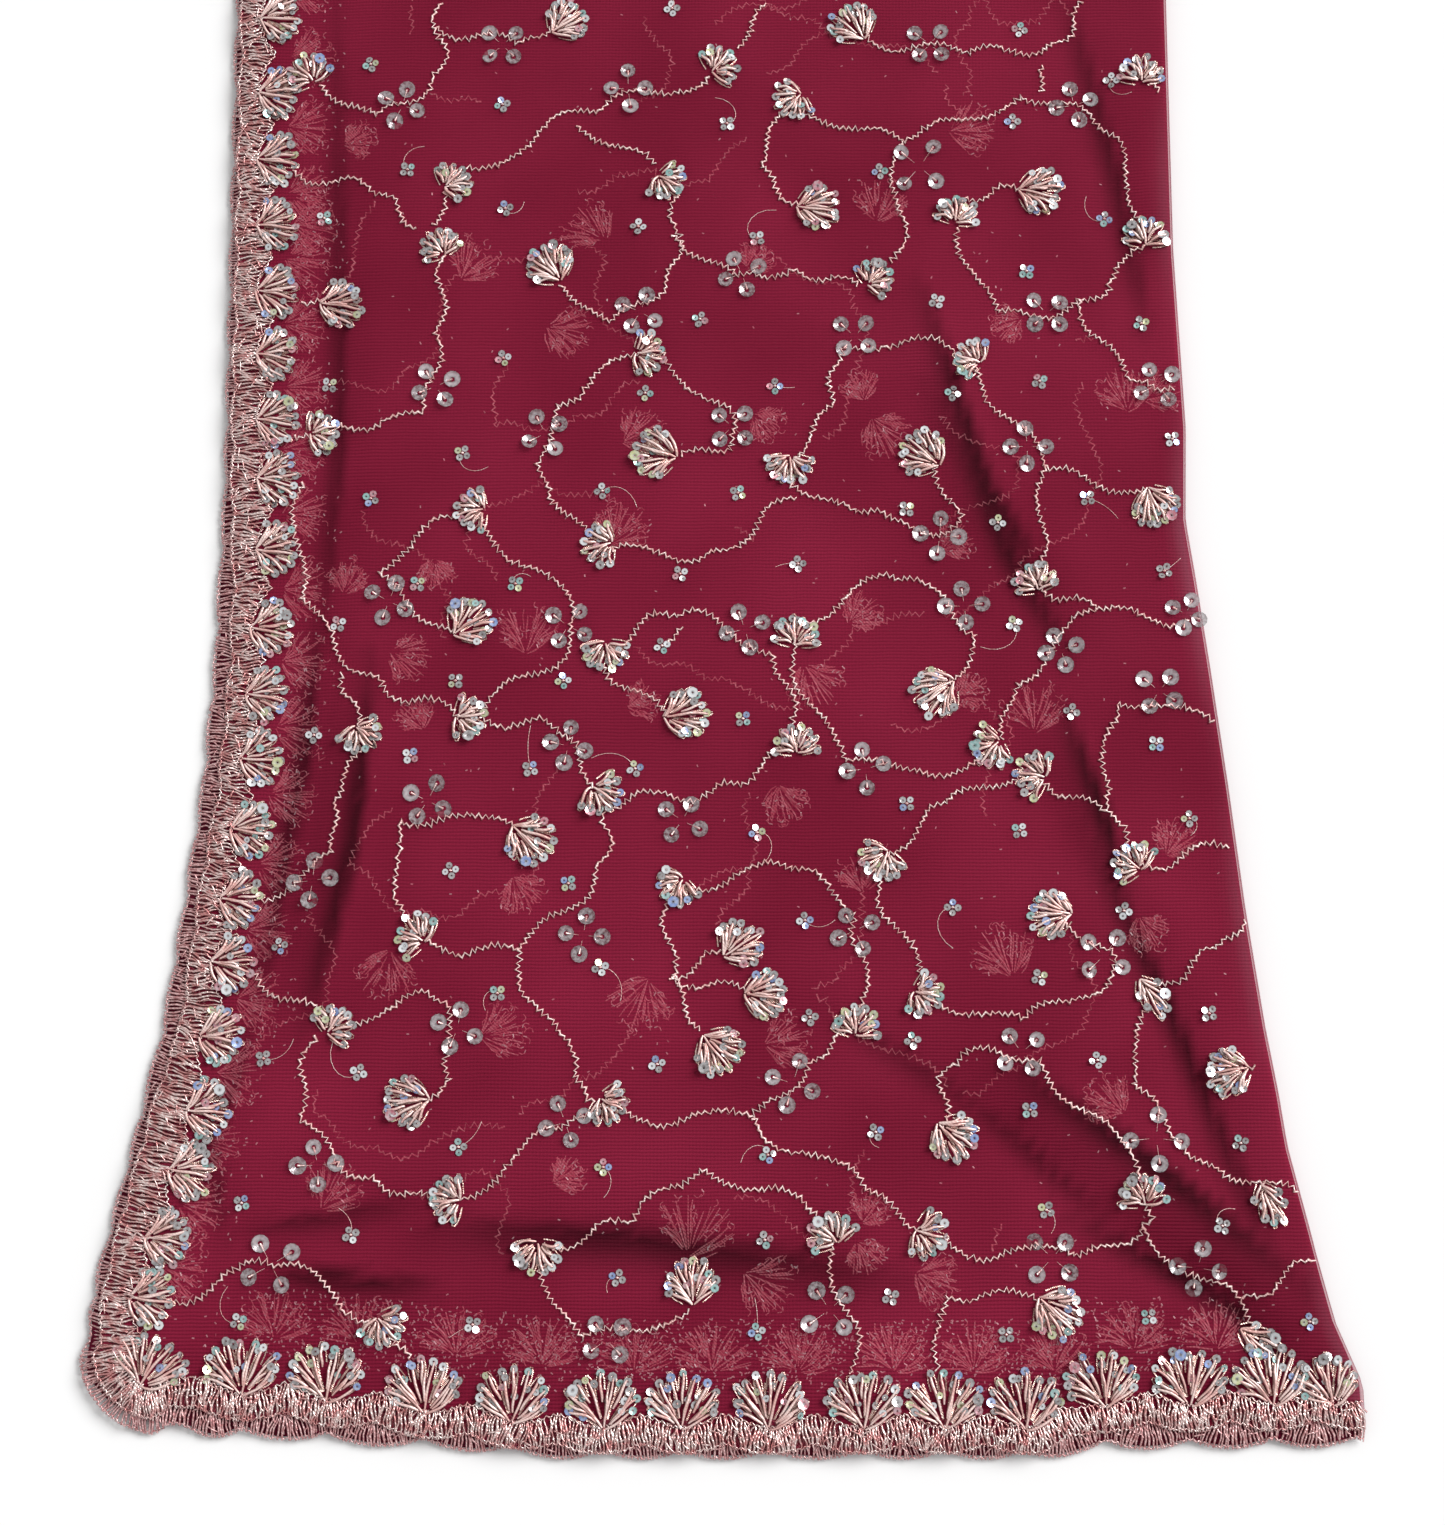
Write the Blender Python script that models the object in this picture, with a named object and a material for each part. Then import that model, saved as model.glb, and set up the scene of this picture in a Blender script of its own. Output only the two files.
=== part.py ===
"""Dupatta stole of dyed net, folded in half along and across and laid flat.

The net shows as one top layer that turns down over the fold on the right and
over the far fold. A scalloped border of metallic thread runs up its left long
edge and along its near end, and the folded layers lie under it.
"""

import math

import bmesh
import bpy
import numpy as np
from mathutils import Matrix, Vector
from mathutils.geometry import delaunay_2d_cdt

MM = 0.001

# Main sizes in millimetres. The near end is at the lowest y.
FOLDED_LENGTH = 1145.0
NEAR_Y = -FOLDED_LENGTH / 2
FAR_Y = FOLDED_LENGTH / 2
WALL = 1.2
LAYER_GAP = 0.45
EMBROIDERY_GAP = 0.3
EMBROIDERY_WALL = 0.9

# Height of the top layer: low at the open edges, fuller where four layers lie
EDGE_HEIGHT = 4.1
INNER_HEIGHT = 6.2
EDGE_RISE_WIDTH = 75.0

# The folded edges roll down with this radius and stop just over the floor
ROLL = 3.2
LIP_HEIGHT = 0.5

# Long edges, from the near end to the far fold: y, left edge of the lowest
# layer, how far that layer shows past the top one, and the right fold
LONG_EDGES = (
    # y, left_x, peek, right_x
    (-572.5, -213.5, 5.0, 217.5),
    (-549.0, -215.5, 5.5, 217.0),
    (-529.0, -211.8, 3.0, 208.5),
    (-510.0, -208.8, 2.6, 203.6),
    (-470.0, -199.2, 2.4, 194.2),
    (-452.0, -195.4, 3.4, 191.8),
    (-429.0, -190.2, 5.4, 188.0),
    (-388.0, -184.6, 4.2, 182.6),
    (-346.0, -179.6, 5.2, 178.2),
    (-303.0, -176.8, 5.0, 173.2),
    (-270.0, -176.2, 4.4, 169.0),
    (-250.0, -175.6, 2.6, 166.2),
    (-216.0, -175.6, 1.6, 167.3),
    (-149.0, -176.2, 1.6, 164.8),
    (-56.0, -177.0, 1.4, 165.0),
    (120.0, -178.2, 1.4, 166.0),
    (330.0, -175.8, 1.4, 163.0),
    (572.5, -178.6, 1.4, 165.0),
)

# Near end, from left to right: x, edge of the top layer, and how far the
# lowest layer shows past it
NEAR_END = (
    # x, edge_y, peek
    (-190.0, -559.5, 5.0),
    (-142.0, -561.3, 5.0),
    (-115.0, -564.2, 4.0),
    (-89.0, -567.4, 2.0),
    (-52.0, -571.5, 1.0),
    (110.0, -571.5, 1.0),
    (127.0, -564.5, 5.0),
    (217.0, -563.5, 5.0),
)

# Scallops. Those seen up the long edge are measured, and the rest are even
SIDE_SCALLOPS = 43
SIDE_SEEN_Y = (
    -520.1, -500.3, -477.7, -457.9, -432.5, -406.8, -384.9, -360.6, -336.0, -312.9,
    -289.0, -260.7, -234.5, -212.8, -188.5, -164.6, -140.0, -114.5, -88.6, -59.8,
)
SIDE_FIRST_JOIN = -531.0
SIDE_EVEN_PITCH = 26.4
SIDE_SCALLOP_DEPTH = 1.8
END_SCALLOP_X = (-159.3, -131.0, -98.0, -69.0, -38.0, -12.0, 17.0, 49.0, 76.0, 103.0, 130.0, 158.0, 186.0)
END_SCALLOP_DEPTH = 3.6
CORNER_CENTRE = (-186.0, -536.5)
CORNER_RADIUS = 24.0
CORNER_PEEK = 4.0

# Border: a stitched band, then one half-round shell to each scallop
BAND_WIDTH = 9.0
SIDE_SHELL = (9.6, 15.5)
END_SHELL = (13.0, 19.5)
FOLDED_SHELL_X = 213.0
CORNER_SHELL = (-190.0, -546.5)
CORNER_SHELL_RADIUS = 13.5
SHELL_RISE = 1.0

# Shells of thick rolled cord on the field, and the way each one opens
FIELD_SHELL_RADIUS = 9.0
FIELD_SHELL_RISE = 1.6
FIELD_MIRROR_Y = (-54.0, 428.0)
FIELD_SHELLS = (
    # x, y, opens_to_degrees
    (-136, -170, 0), (-60, -155, 120), (36, -134, 0), (116, -127, 0),
    (-22, -227, 175), (73, -226, 144), (147, -246, -65), (-87, -287, 40),
    (-11, -319, 18), (77, -313, 216), (-65, -365, -36), (8, -401, 40),
    (17, -421, 0), (1, -443, -42), (-106, -455, 187), (114, -390, 176),
    (81, -467, -42), (174, -445, 195), (-8, -515, 90), (114, -525, -38),
    (-55, -61, 40), (49, -63, 125),
)

# Creases: three points along each, how far it rises (a trough is negative),
# and its half width
CREASES = (
    # start_x, start_y, bend_x, bend_y, end_x, end_y, rise, half_width
    (-139, -54, -134, -218, -139, -300, -1.5, 8),
    (-139, -280, -145, -344, -158, -425, -2.0, 8),
    (-126, -300, -131, -365, -146, -430, 2.6, 8),
    (-158, -425, -172, -470, -166, -501, -1.6, 7),
    (129, -54, 144, -116, 155, -180, -1.6, 8),
    (68, -166, 90, -240, 108, -271, 2.8, 9),
    (77, -200, 103, -262, 125, -300, -2.0, 8),
    (116, -320, 128, -355, 137, -385, 2.6, 8),
    (128, -360, 155, -421, 189, -510, -2.0, 8),
    (46, -428, 123, -484, 198, -545, -2.2, 8),
    (52, -410, 108, -450, 173, -492, 4.2, 10),
    (-162, -496, -137, -494, -104, -489, -1.5, 7),
    (-150, -516, -130, -518, -95, -521, 2.4, 7),
    (-95, -496, -26, -500, 62, -513, -2.0, 13),
    (-20, 10, 30, 90, 60, 190, 2.6, 10),
    (-120, 40, -95, 150, -110, 260, -1.8, 9),
    (120, 120, 90, 230, 100, 330, -1.8, 9),
    (-60, 260, -20, 350, 50, 430, 3.0, 10),
    (110, 350, 60, 450, 20, 520, -1.8, 9),
    (-130, 380, -90, 450, -80, 530, 2.2, 9),
)
CREASE_STATIONS = 6

# Spacing of the sheet's points between those that the outlines need
GRID_STEP = 38.0
POINT_SPACING = 6.5

COLOURS = {
    "net_panel": (0.190, 0.013, 0.033, 1.0),
    "scallop_border": (0.610, 0.400, 0.380, 1.0),
    "under_layers": (0.150, 0.011, 0.026, 1.0),
}


def smooth_step(t):
    t = min(max(t, 0.0), 1.0)
    return t * t * (3.0 - 2.0 * t)


def read_column(table, column, at):
    """Value of a table's column where its first column equals at."""
    keys = [row[0] for row in table]
    values = [row[column] for row in table]
    return float(np.interp(at, keys, values))


def side_centre(k):
    """y of scallop k up the long edge."""
    n = min(k, len(SIDE_SEEN_Y) - 1)
    return SIDE_SEEN_Y[n] + (k - n) * SIDE_EVEN_PITCH


def panel_left(y):
    return read_column(LONG_EDGES, 1, y) + read_column(LONG_EDGES, 2, y)


def right_fold(y):
    return read_column(LONG_EDGES, 3, y)


def open_edge(reach, roll):
    """Scalloped edge from beside the near right corner to the far left one.

    reach is 0 for the top layer and 1 for the lowest layer, whose scallops up
    the long edge lie half a scallop further on. Each row holds x, y and the
    way in from the edge.
    """
    rows = []
    near_ends = [right_fold(NEAR_Y) - roll - 0.5]
    centres = sorted(END_SCALLOP_X, reverse=True)
    near_ends += [(a + b) / 2 for a, b in zip(centres, centres[1:])]
    near_ends.append(centres[-1] - (centres[-2] - centres[-1]) / 2)
    for start, end in zip(near_ends, near_ends[1:]):
        for part, inset in ((0.0, END_SCALLOP_DEPTH), (0.3, 0.0), (0.7, 0.0)):
            x = start + (end - start) * part
            edge = read_column(NEAR_END, 1, x) - reach * read_column(NEAR_END, 2, x)
            rows.append((x, edge + inset, (0.0, 1.0)))
    radius = CORNER_RADIUS + CORNER_PEEK * reach
    for degrees in (268, 252, 238, 224, 208, 194, 182):
        angle = math.radians(degrees)
        out = Vector((math.cos(angle), math.sin(angle)))
        rows.append((CORNER_CENTRE[0] + out.x * radius, CORNER_CENTRE[1] + out.y * radius, (-out.x, -out.y)))
    side_ends = [SIDE_FIRST_JOIN]
    for k in range(SIDE_SCALLOPS - 1):
        side_ends.append(side_centre(k) if reach > 0.5 else (side_centre(k) + side_centre(k + 1)) / 2)
    side_ends.append(FAR_Y - roll)
    for start, end in zip(side_ends, side_ends[1:]):
        for part, inset in ((0.0, SIDE_SCALLOP_DEPTH), (0.3, 0.0), (0.7, 0.0)):
            y = start + (end - start) * part
            edge = read_column(LONG_EDGES, 1, y) + (1 - reach) * read_column(LONG_EDGES, 2, y)
            rows.append((edge + inset, y, (1.0, 0.0)))
    return rows[1:]


def fold_edge(reach, roll):
    """Folded edge from the far left corner round to the near right one.

    Each row holds x, y and the way out from the edge. The far right corner is
    rounded, as a fold across a fold is. The last row is the near right corner.
    """
    rows = []
    far_left = panel_left(FAR_Y)
    far_right = right_fold(FAR_Y)
    corner = 9.0
    rows.append((far_left + SIDE_SCALLOP_DEPTH, FAR_Y - roll, (0.0, 1.0)))
    steps = 8
    band_x = far_left + BAND_WIDTH + SIDE_SCALLOP_DEPTH
    for k in range(steps):
        x = band_x + (far_right - corner - band_x) * k / steps
        rows.append((x, FAR_Y - roll, (0.0, 1.0)))
    for degrees in (90, 45, 0):
        out = Vector((math.cos(math.radians(degrees)), math.sin(math.radians(degrees))))
        bend = corner - roll
        rows.append((far_right - corner + out.x * bend, FAR_Y - corner + out.y * bend, (out.x, out.y)))
    y = FAR_Y - corner - 35.0
    while y > NEAR_Y + 30.0:
        rows.append((right_fold(y) - roll, y, (1.0, 0.0)))
        y -= 30.0 if y < -40.0 else 42.0
    end_y = NEAR_END[-1][1] - reach * NEAR_END[-1][2]
    for near_y in (NEAR_END[-1][1] + BAND_WIDTH + END_SHELL[1], end_y + END_SCALLOP_DEPTH):
        rows.append((right_fold(near_y) - roll, near_y, (1.0, 0.0)))
    return rows


def distance_to_line(x, y, line):
    """Distance from a point to a three-point line, and how far along it lies."""
    best = 1e9
    along = 0.0
    for k in range(2):
        ax, ay = line[k]
        bx, by = line[k + 1]
        length = (bx - ax) ** 2 + (by - ay) ** 2
        t = max(0.0, min(1.0, ((x - ax) * (bx - ax) + (y - ay) * (by - ay)) / length))
        d = math.hypot(x - ax - t * (bx - ax), y - ay - t * (by - ay))
        if d < best:
            best = d
            along = (k + t) / 2
    return best, along


def crease_rise(x, y):
    total = 0.0
    for crease in CREASES:
        line = ((crease[0], crease[1]), (crease[2], crease[3]), (crease[4], crease[5]))
        rise, half_width = crease[6], crease[7]
        d, along = distance_to_line(x, y, line)
        if d < 3.0 * half_width:
            ends = math.sin(math.pi * min(max(along, 0.04), 0.96)) ** 0.6
            total += rise * ends * math.exp(-((d / half_width) ** 2))
    return total


def edge_distance(x, y):
    """Distance in from the two open edges."""
    from_left = x - panel_left(y)
    from_near = y - read_column(NEAR_END, 1, x)
    return max(0.0, min(from_left, from_near))


def top_height(x, y):
    """Height of the top layer's upper face."""
    inner = smooth_step(edge_distance(x, y) / EDGE_RISE_WIDTH)
    height = EDGE_HEIGHT + (INNER_HEIGHT - EDGE_HEIGHT) * inner
    fade = smooth_step((edge_distance(x, y) - 8.0) / 22.0)
    fold_fade = smooth_step((right_fold(y) - ROLL - x) / 14.0)
    return height + crease_rise(x, y) * fade * fold_fade


def under_height(x, y):
    """Height of the hidden layers, which don't follow the top layer's ridges."""
    ridge = max(0.0, crease_rise(x, y))
    return top_height(x, y) - WALL - LAYER_GAP - 0.75 * ridge * smooth_step((edge_distance(x, y) - 8.0) / 22.0)


def shell_outline(x, y, degrees):
    """Points round a half-round shell, base first."""
    ahead = Vector((math.cos(math.radians(degrees)), math.sin(math.radians(degrees))))
    across = Vector((-ahead.y, ahead.x))
    base = Vector((x, y)) - ahead * FIELD_SHELL_RADIUS
    points = [base]
    for k in range(5):
        angle = math.radians(-76 + 38 * k)
        reach = FIELD_SHELL_RADIUS * 1.95 * (0.80 + 0.20 * math.cos(angle))
        points.append(base + ahead * reach * math.cos(angle) + across * reach * math.sin(angle) * 0.68)
    return points


def field_shells():
    """The shells that the embroiderer sets over the field, mirrored twice to the far fold."""
    rows = []
    for x, y, degrees in FIELD_SHELLS:
        rows.append((x, y, degrees))
        if not -148 < x < 138:
            continue
        mirrored = 2 * FIELD_MIRROR_Y[0] - y
        if y < FIELD_MIRROR_Y[0] - 12.0:
            rows.append((x, mirrored, -degrees))
        again = 2 * FIELD_MIRROR_Y[1] - mirrored
        if again < FAR_Y - 25.0:
            rows.append((x, again, degrees))
    return rows


def border_line():
    """Inner edge of the border, shell by shell, from the near right corner."""
    rows = []
    half_width, depth = END_SHELL
    centres = sorted(END_SCALLOP_X, reverse=True)
    rows.append(fold_edge(0.0, ROLL)[-2][:2])
    for centre in [FOLDED_SHELL_X] + centres:
        base = read_column(NEAR_END, 1, centre) + BAND_WIDTH
        for degrees in (172,) if centre == FOLDED_SHELL_X else (8, 60, 120, 172):
            angle = math.radians(degrees)
            rows.append((centre + half_width * math.cos(angle), base + depth * math.sin(angle)))
    for degrees in (0, 45, 85):
        angle = math.radians(degrees)
        across = CORNER_SHELL_RADIUS * math.cos(angle)
        rows.append((CORNER_SHELL[0] + across, CORNER_SHELL[1] + CORNER_SHELL_RADIUS * math.sin(angle)))
    half_width, depth = SIDE_SHELL
    for k in range(SIDE_SCALLOPS):
        y = side_centre(k)
        base = panel_left(y) + BAND_WIDTH
        for degrees in (-80, -30, 30, 80):
            angle = math.radians(degrees)
            across = half_width * math.sin(angle)
            rows.append((base + depth * math.cos(angle), y + across))
    rows.append((panel_left(FAR_Y) + BAND_WIDTH + SIDE_SCALLOP_DEPTH, FAR_Y - ROLL))
    return rows


def inside_polygon(x, y, polygon):
    inside = False
    last = polygon[-1]
    for point in polygon:
        if (point[1] > y) != (last[1] > y):
            cut = (last[0] - point[0]) * (y - point[1]) / (last[1] - point[1]) + point[0]
            if x < cut:
                inside = not inside
        last = point
    return inside


class Sheet:
    """Points and triangles of a sheet of cloth in plan, with what each point is."""

    def __init__(self):
        self.points = []
        self.edges = []
        self.rise = []

    def add(self, x, y, rise=0.0):
        self.points.append((x, y))
        self.rise.append(rise)
        return len(self.points) - 1

    def add_line(self, rows, closed=False, rise=0.0):
        first = len(self.points)
        for row in rows:
            self.add(row[0], row[1], rise)
        last = len(self.points)
        self.edges += [(k, k + 1) for k in range(first, last - 1)]
        if closed:
            self.edges.append((last - 1, first))
        return range(first, last)

    def is_clear(self, x, y, spacing):
        near = np.asarray(self.points)
        return float(np.min(np.hypot(near[:, 0] - x, near[:, 1] - y))) > spacing

    def triangulate(self, outline):
        """Triangles inside the outline. Points that crossing lines add take no rise."""
        found = delaunay_2d_cdt([Vector(p) for p in self.points], self.edges, [], 0, 0.01)
        verts, faces, origins = found[0], found[2], found[3]
        self.points = [(v.x, v.y) for v in verts]
        self.rise = [self.rise[names[0]] if names else 0.0 for names in origins]
        polygon = [self.points[k] for k in self.match(outline)]
        kept = []
        for face in faces:
            x = sum(self.points[k][0] for k in face) / 3
            y = sum(self.points[k][1] for k in face) / 3
            if inside_polygon(x, y, polygon):
                kept.append(tuple(face))
        return kept

    def match(self, rows):
        """Indices of the points that lie at each row's x and y."""
        known = np.asarray(self.points)
        return [int(np.argmin(np.hypot(known[:, 0] - r[0], known[:, 1] - r[1]))) for r in rows]


def add_creases_and_grid(sheet, outline, margin):
    """Points along both sides of each crease, then a grid between them all."""
    for crease in CREASES:
        ends = ((crease[0], crease[1]), (crease[2], crease[3]), (crease[4], crease[5]))
        for k in range(CREASE_STATIONS):
            t = k / (CREASE_STATIONS - 1)
            part = 0 if t < 0.5 else 1
            local = t * 2 - part
            a, b = Vector(ends[part]), Vector(ends[part + 1])
            across = (b - a).normalized().orthogonal()
            for side in (0.0, -1.3, 1.3):
                p = a.lerp(b, local) + across * side * crease[7]
                clear = sheet.is_clear(p.x, p.y, POINT_SPACING)
                if clear and edge_distance(p.x, p.y) > margin and inside_polygon(p.x, p.y, outline):
                    if p.x < right_fold(p.y) - ROLL - 6.0:
                        sheet.add(p.x, p.y)
    rows = int(FOLDED_LENGTH / GRID_STEP)
    for j in range(1, rows):
        y = NEAR_Y + FOLDED_LENGTH * j / rows
        columns = 11
        for k in range(1, columns):
            left = panel_left(y)
            x = left + (right_fold(y) - ROLL - left) * (k + 0.5 * (j % 2)) / columns
            clear = sheet.is_clear(x, y, GRID_STEP * 0.42)
            if clear and edge_distance(x, y) > margin and inside_polygon(x, y, outline):
                sheet.add(x, y)


def make_material(name):
    material = bpy.data.materials.new(name)
    material.use_nodes = True
    shader = material.node_tree.nodes["Principled BSDF"]
    shader.inputs["Base Color"].default_value = COLOURS[name]
    shader.inputs["Roughness"].default_value = 0.75
    shader.inputs["Metallic"].default_value = 0.35 if name == "scallop_border" else 0.0
    return material


def finish_object(bm, name, collection):
    """Turns a bmesh in millimetres into a named object in metres."""
    bmesh.ops.recalc_face_normals(bm, faces=bm.faces)
    bmesh.ops.scale(bm, vec=(MM, MM, MM), verts=bm.verts)
    mesh = bpy.data.meshes.new(name)
    bm.to_mesh(mesh)
    bm.free()
    mesh.shade_smooth()
    mesh.set_sharp_from_angle(angle=math.radians(40))
    mesh.materials.append(make_material(name))
    obj = bpy.data.objects.new(name, mesh)
    collection.objects.link(obj)
    return obj


def surface_from(sheet, triangles, height):
    """A bmesh of the sheet's triangles; every vertex remembers its inner point."""
    bm = bmesh.new()
    inner = bm.verts.layers.float_vector.new("inner")
    made = {}
    for triangle in triangles:
        for k in triangle:
            if k not in made:
                x, y = sheet.points[k]
                z = height(x, y)
                made[k] = bm.verts.new((x, y, z + sheet.rise[k]))
                made[k][inner] = Vector((x, y, z))
        bm.faces.new([made[k] for k in triangle])
    return bm, made, inner


def close_wall(bm, inner):
    """Extrudes the surface into a wall and moves its first faces to the inner points."""
    first = list(bm.verts)
    bmesh.ops.extrude_face_region(bm, geom=list(bm.faces))
    for vert in first:
        vert.co = vert[inner]


def roll_down(bm, inner, verts, outs, profile):
    """Extrudes a folded edge outward and down in steps of outward, height and inner offset."""
    loop = list(verts)
    for outward, level, wall_in, wall_down in profile:
        chosen = set(loop)
        edges = [e for e in bm.edges if e.verts[0] in chosen and e.verts[1] in chosen and e.is_boundary]
        made = bmesh.ops.extrude_edge_only(bm, edges=edges)["geom"]
        fresh = [item for item in made if isinstance(item, bmesh.types.BMVert)]
        nearest = []
        for vert in loop:
            nearest.append(min(fresh, key=lambda other: (other.co - vert.co).length))
        for vert, out in zip(nearest, outs):
            start_z = vert.co.z
            vert.co.x += out[0] * outward
            vert.co.y += out[1] * outward
            vert.co.z = level(start_z)
            vert[inner] = Vector((vert.co.x - out[0] * wall_in, vert.co.y - out[1] * wall_in, vert.co.z - wall_down))
        loop = nearest


def make_top_sheet():
    """Plan of the top layer, with the border's line and the field's shells in it."""
    sheet = Sheet()
    outer = open_edge(0.0, ROLL)
    folds = fold_edge(0.0, ROLL)
    outline = outer + folds
    sheet.add_line(outline, closed=True)
    line = border_line()
    sheet.add_line(line)
    for x in END_SCALLOP_X:
        sheet.add(x, read_column(NEAR_END, 1, x) + BAND_WIDTH + 0.55 * END_SHELL[1])
    for k in range(SIDE_SCALLOPS):
        sheet.add(panel_left(side_centre(k)) + BAND_WIDTH + 0.5 * SIDE_SHELL[1], side_centre(k))
    for x, y, degrees in field_shells():
        points = shell_outline(x, y, degrees)
        if min(edge_distance(p.x, p.y) for p in points) > 27.0:
            sheet.add_line([(p.x, p.y) for p in points], closed=True)
            ahead = Vector((math.cos(math.radians(degrees)), math.sin(math.radians(degrees))))
            for along, across in ((-2.0, 0.0), (4.5, 3.2), (4.5, -3.2)):
                side = Vector((-ahead.y, ahead.x)) * across
                centre = Vector((x, y)) + ahead * along + side
                sheet.add(centre.x, centre.y, FIELD_SHELL_RISE)
    add_creases_and_grid(sheet, outline, 29.0)
    triangles = sheet.triangulate(outline)
    return sheet, triangles, folds[-1:] + outer + folds[:1], folds, line


def make_net_panel(sheet, triangles, folds, collection):
    bm, made, inner = surface_from(sheet, triangles, top_height)
    for vert in bm.verts:
        vert[inner] = vert[inner] - Vector((0.0, 0.0, WALL))
    fold_verts = [made[k] for k in sheet.match(folds)]
    outs = [row[2] for row in folds]
    profile = (
        (ROLL * 0.70, lambda z: z - ROLL * 0.28, WALL * 0.7, WALL * 0.7),
        (ROLL * 0.30, lambda z: z - ROLL * 0.62, WALL, 0.0),
        (0.0, lambda z: LIP_HEIGHT, WALL, 0.0),
    )
    roll_down(bm, inner, fold_verts, outs, profile)
    close_wall(bm, inner)
    return finish_object(bm, "net_panel", collection)


def make_border(sheet, triangles, outer, line, collection):
    """The band and its shells, made from the panel's points and moved out."""
    polygon = [(r[0], r[1]) for r in outer] + [(r[0], r[1]) for r in reversed(line)]
    chosen = []
    for face in triangles:
        x = sum(sheet.points[k][0] for k in face) / 3
        y = sum(sheet.points[k][1] for k in face) / 3
        if inside_polygon(x, y, polygon):
            chosen.append(face)
    line_points = set(sheet.match(line))
    outer_points = set(sheet.match(outer))
    bm, made, inner = surface_from(sheet, chosen, top_height)
    for k, vert in made.items():
        shell = 0.0 if k in line_points or k in outer_points else SHELL_RISE
        low = vert[inner] + Vector((0.0, 0.0, EMBROIDERY_GAP))
        vert.co = low + Vector((0.0, 0.0, EMBROIDERY_WALL + shell))
        vert[inner] = low
    close_wall(bm, inner)
    return finish_object(bm, "scallop_border", collection)


def make_under_layers(top_sheet, collection):
    """The hidden layers as one solid with a flat underside and stepped edges.

    Its inner points are the top layer's, so the two stay parallel.
    """
    sheet = Sheet()
    clearance = ROLL + WALL + LAYER_GAP
    ledge = 1.3
    outer = open_edge(1.0, clearance)
    step = [(r[0] + r[2][0] * ledge, r[1] + r[2][1] * ledge, r[2]) for r in outer]
    folds = fold_edge(1.0, clearance)
    outline = outer + folds
    sheet.add_line(outline, closed=True)
    step_range = sheet.add_line(step[1:-1])
    step_points = [sheet.points[k] for k in step_range]
    for x, y in top_sheet.points:
        if edge_distance(x, y) > 16.0 and x < right_fold(y) - 9.0 and y < FAR_Y - 9.0:
            sheet.add(x, y)
    triangles = sheet.triangulate(outline)
    bm, made, inner = surface_from(sheet, triangles, under_height)
    edge_points = set(sheet.match(outer))
    edge_top = EDGE_HEIGHT - WALL - LAYER_GAP
    for k, vert in made.items():
        if k in edge_points:
            vert.co.z = edge_top * 0.5
    for k in sheet.match(step_points):
        if k not in edge_points:
            made[k].co.z = min(made[k].co.z, edge_top)
    bottom = [e for e in bm.edges if e.is_boundary]
    fold_set = set(sheet.match(folds))
    fold_verts = {made[k] for k in fold_set}
    walls = bmesh.ops.extrude_edge_only(bm, edges=bottom)["geom"]
    for vert in [item for item in walls if isinstance(item, bmesh.types.BMVert)]:
        vert.co.z = 0.0
    bm.verts.ensure_lookup_table()
    rim = [e for e in bm.edges if e.is_boundary]
    bmesh.ops.contextual_create(bm, geom=rim)
    flat = [f for f in bm.faces if len(f.verts) > 4]
    bmesh.ops.triangulate(bm, faces=flat, ngon_method="EAR_CLIP")
    soften = [e for e in bm.edges if e.verts[0] in fold_verts and e.verts[1] in fold_verts]
    soften = [e for e in soften if any(abs(f.normal.z) < 0.5 for f in e.link_faces)]
    bmesh.ops.recalc_face_normals(bm, faces=bm.faces)
    soften = [e for e in soften if e.calc_face_angle(0.0) > 0.8]
    bmesh.ops.bevel(bm, geom=soften, offset=1.6, segments=2, affect="EDGES", clamp_overlap=True)
    return finish_object(bm, "under_layers", collection)


def centre_on_floor(objects):
    """Moves the meshes so that the middle of the whole part's base is the origin."""
    corners = np.array([v.co for obj in objects for v in obj.data.vertices])
    low = corners.min(axis=0)
    high = corners.max(axis=0)
    shift = Matrix.Translation((-(low[0] + high[0]) / 2, -(low[1] + high[1]) / 2, -low[2]))
    for obj in objects:
        obj.data.transform(shift)


def main():
    for obj in list(bpy.data.objects):
        bpy.data.objects.remove(obj, do_unlink=True)
    collection = bpy.data.collections.new("dupatta_stole")
    bpy.context.scene.collection.children.link(collection)
    sheet, triangles, outer, folds, line = make_top_sheet()
    panel = make_net_panel(sheet, triangles, folds, collection)
    border = make_border(sheet, triangles, outer, line, collection)
    under = make_under_layers(sheet, collection)
    centre_on_floor([panel, border, under])


main()
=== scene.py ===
"""Dupatta stole of dyed net, folded in four and laid flat, with metallic thread work."""

import math

import bmesh
import bpy
import numpy as np
from mathutils import Matrix, Vector


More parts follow.
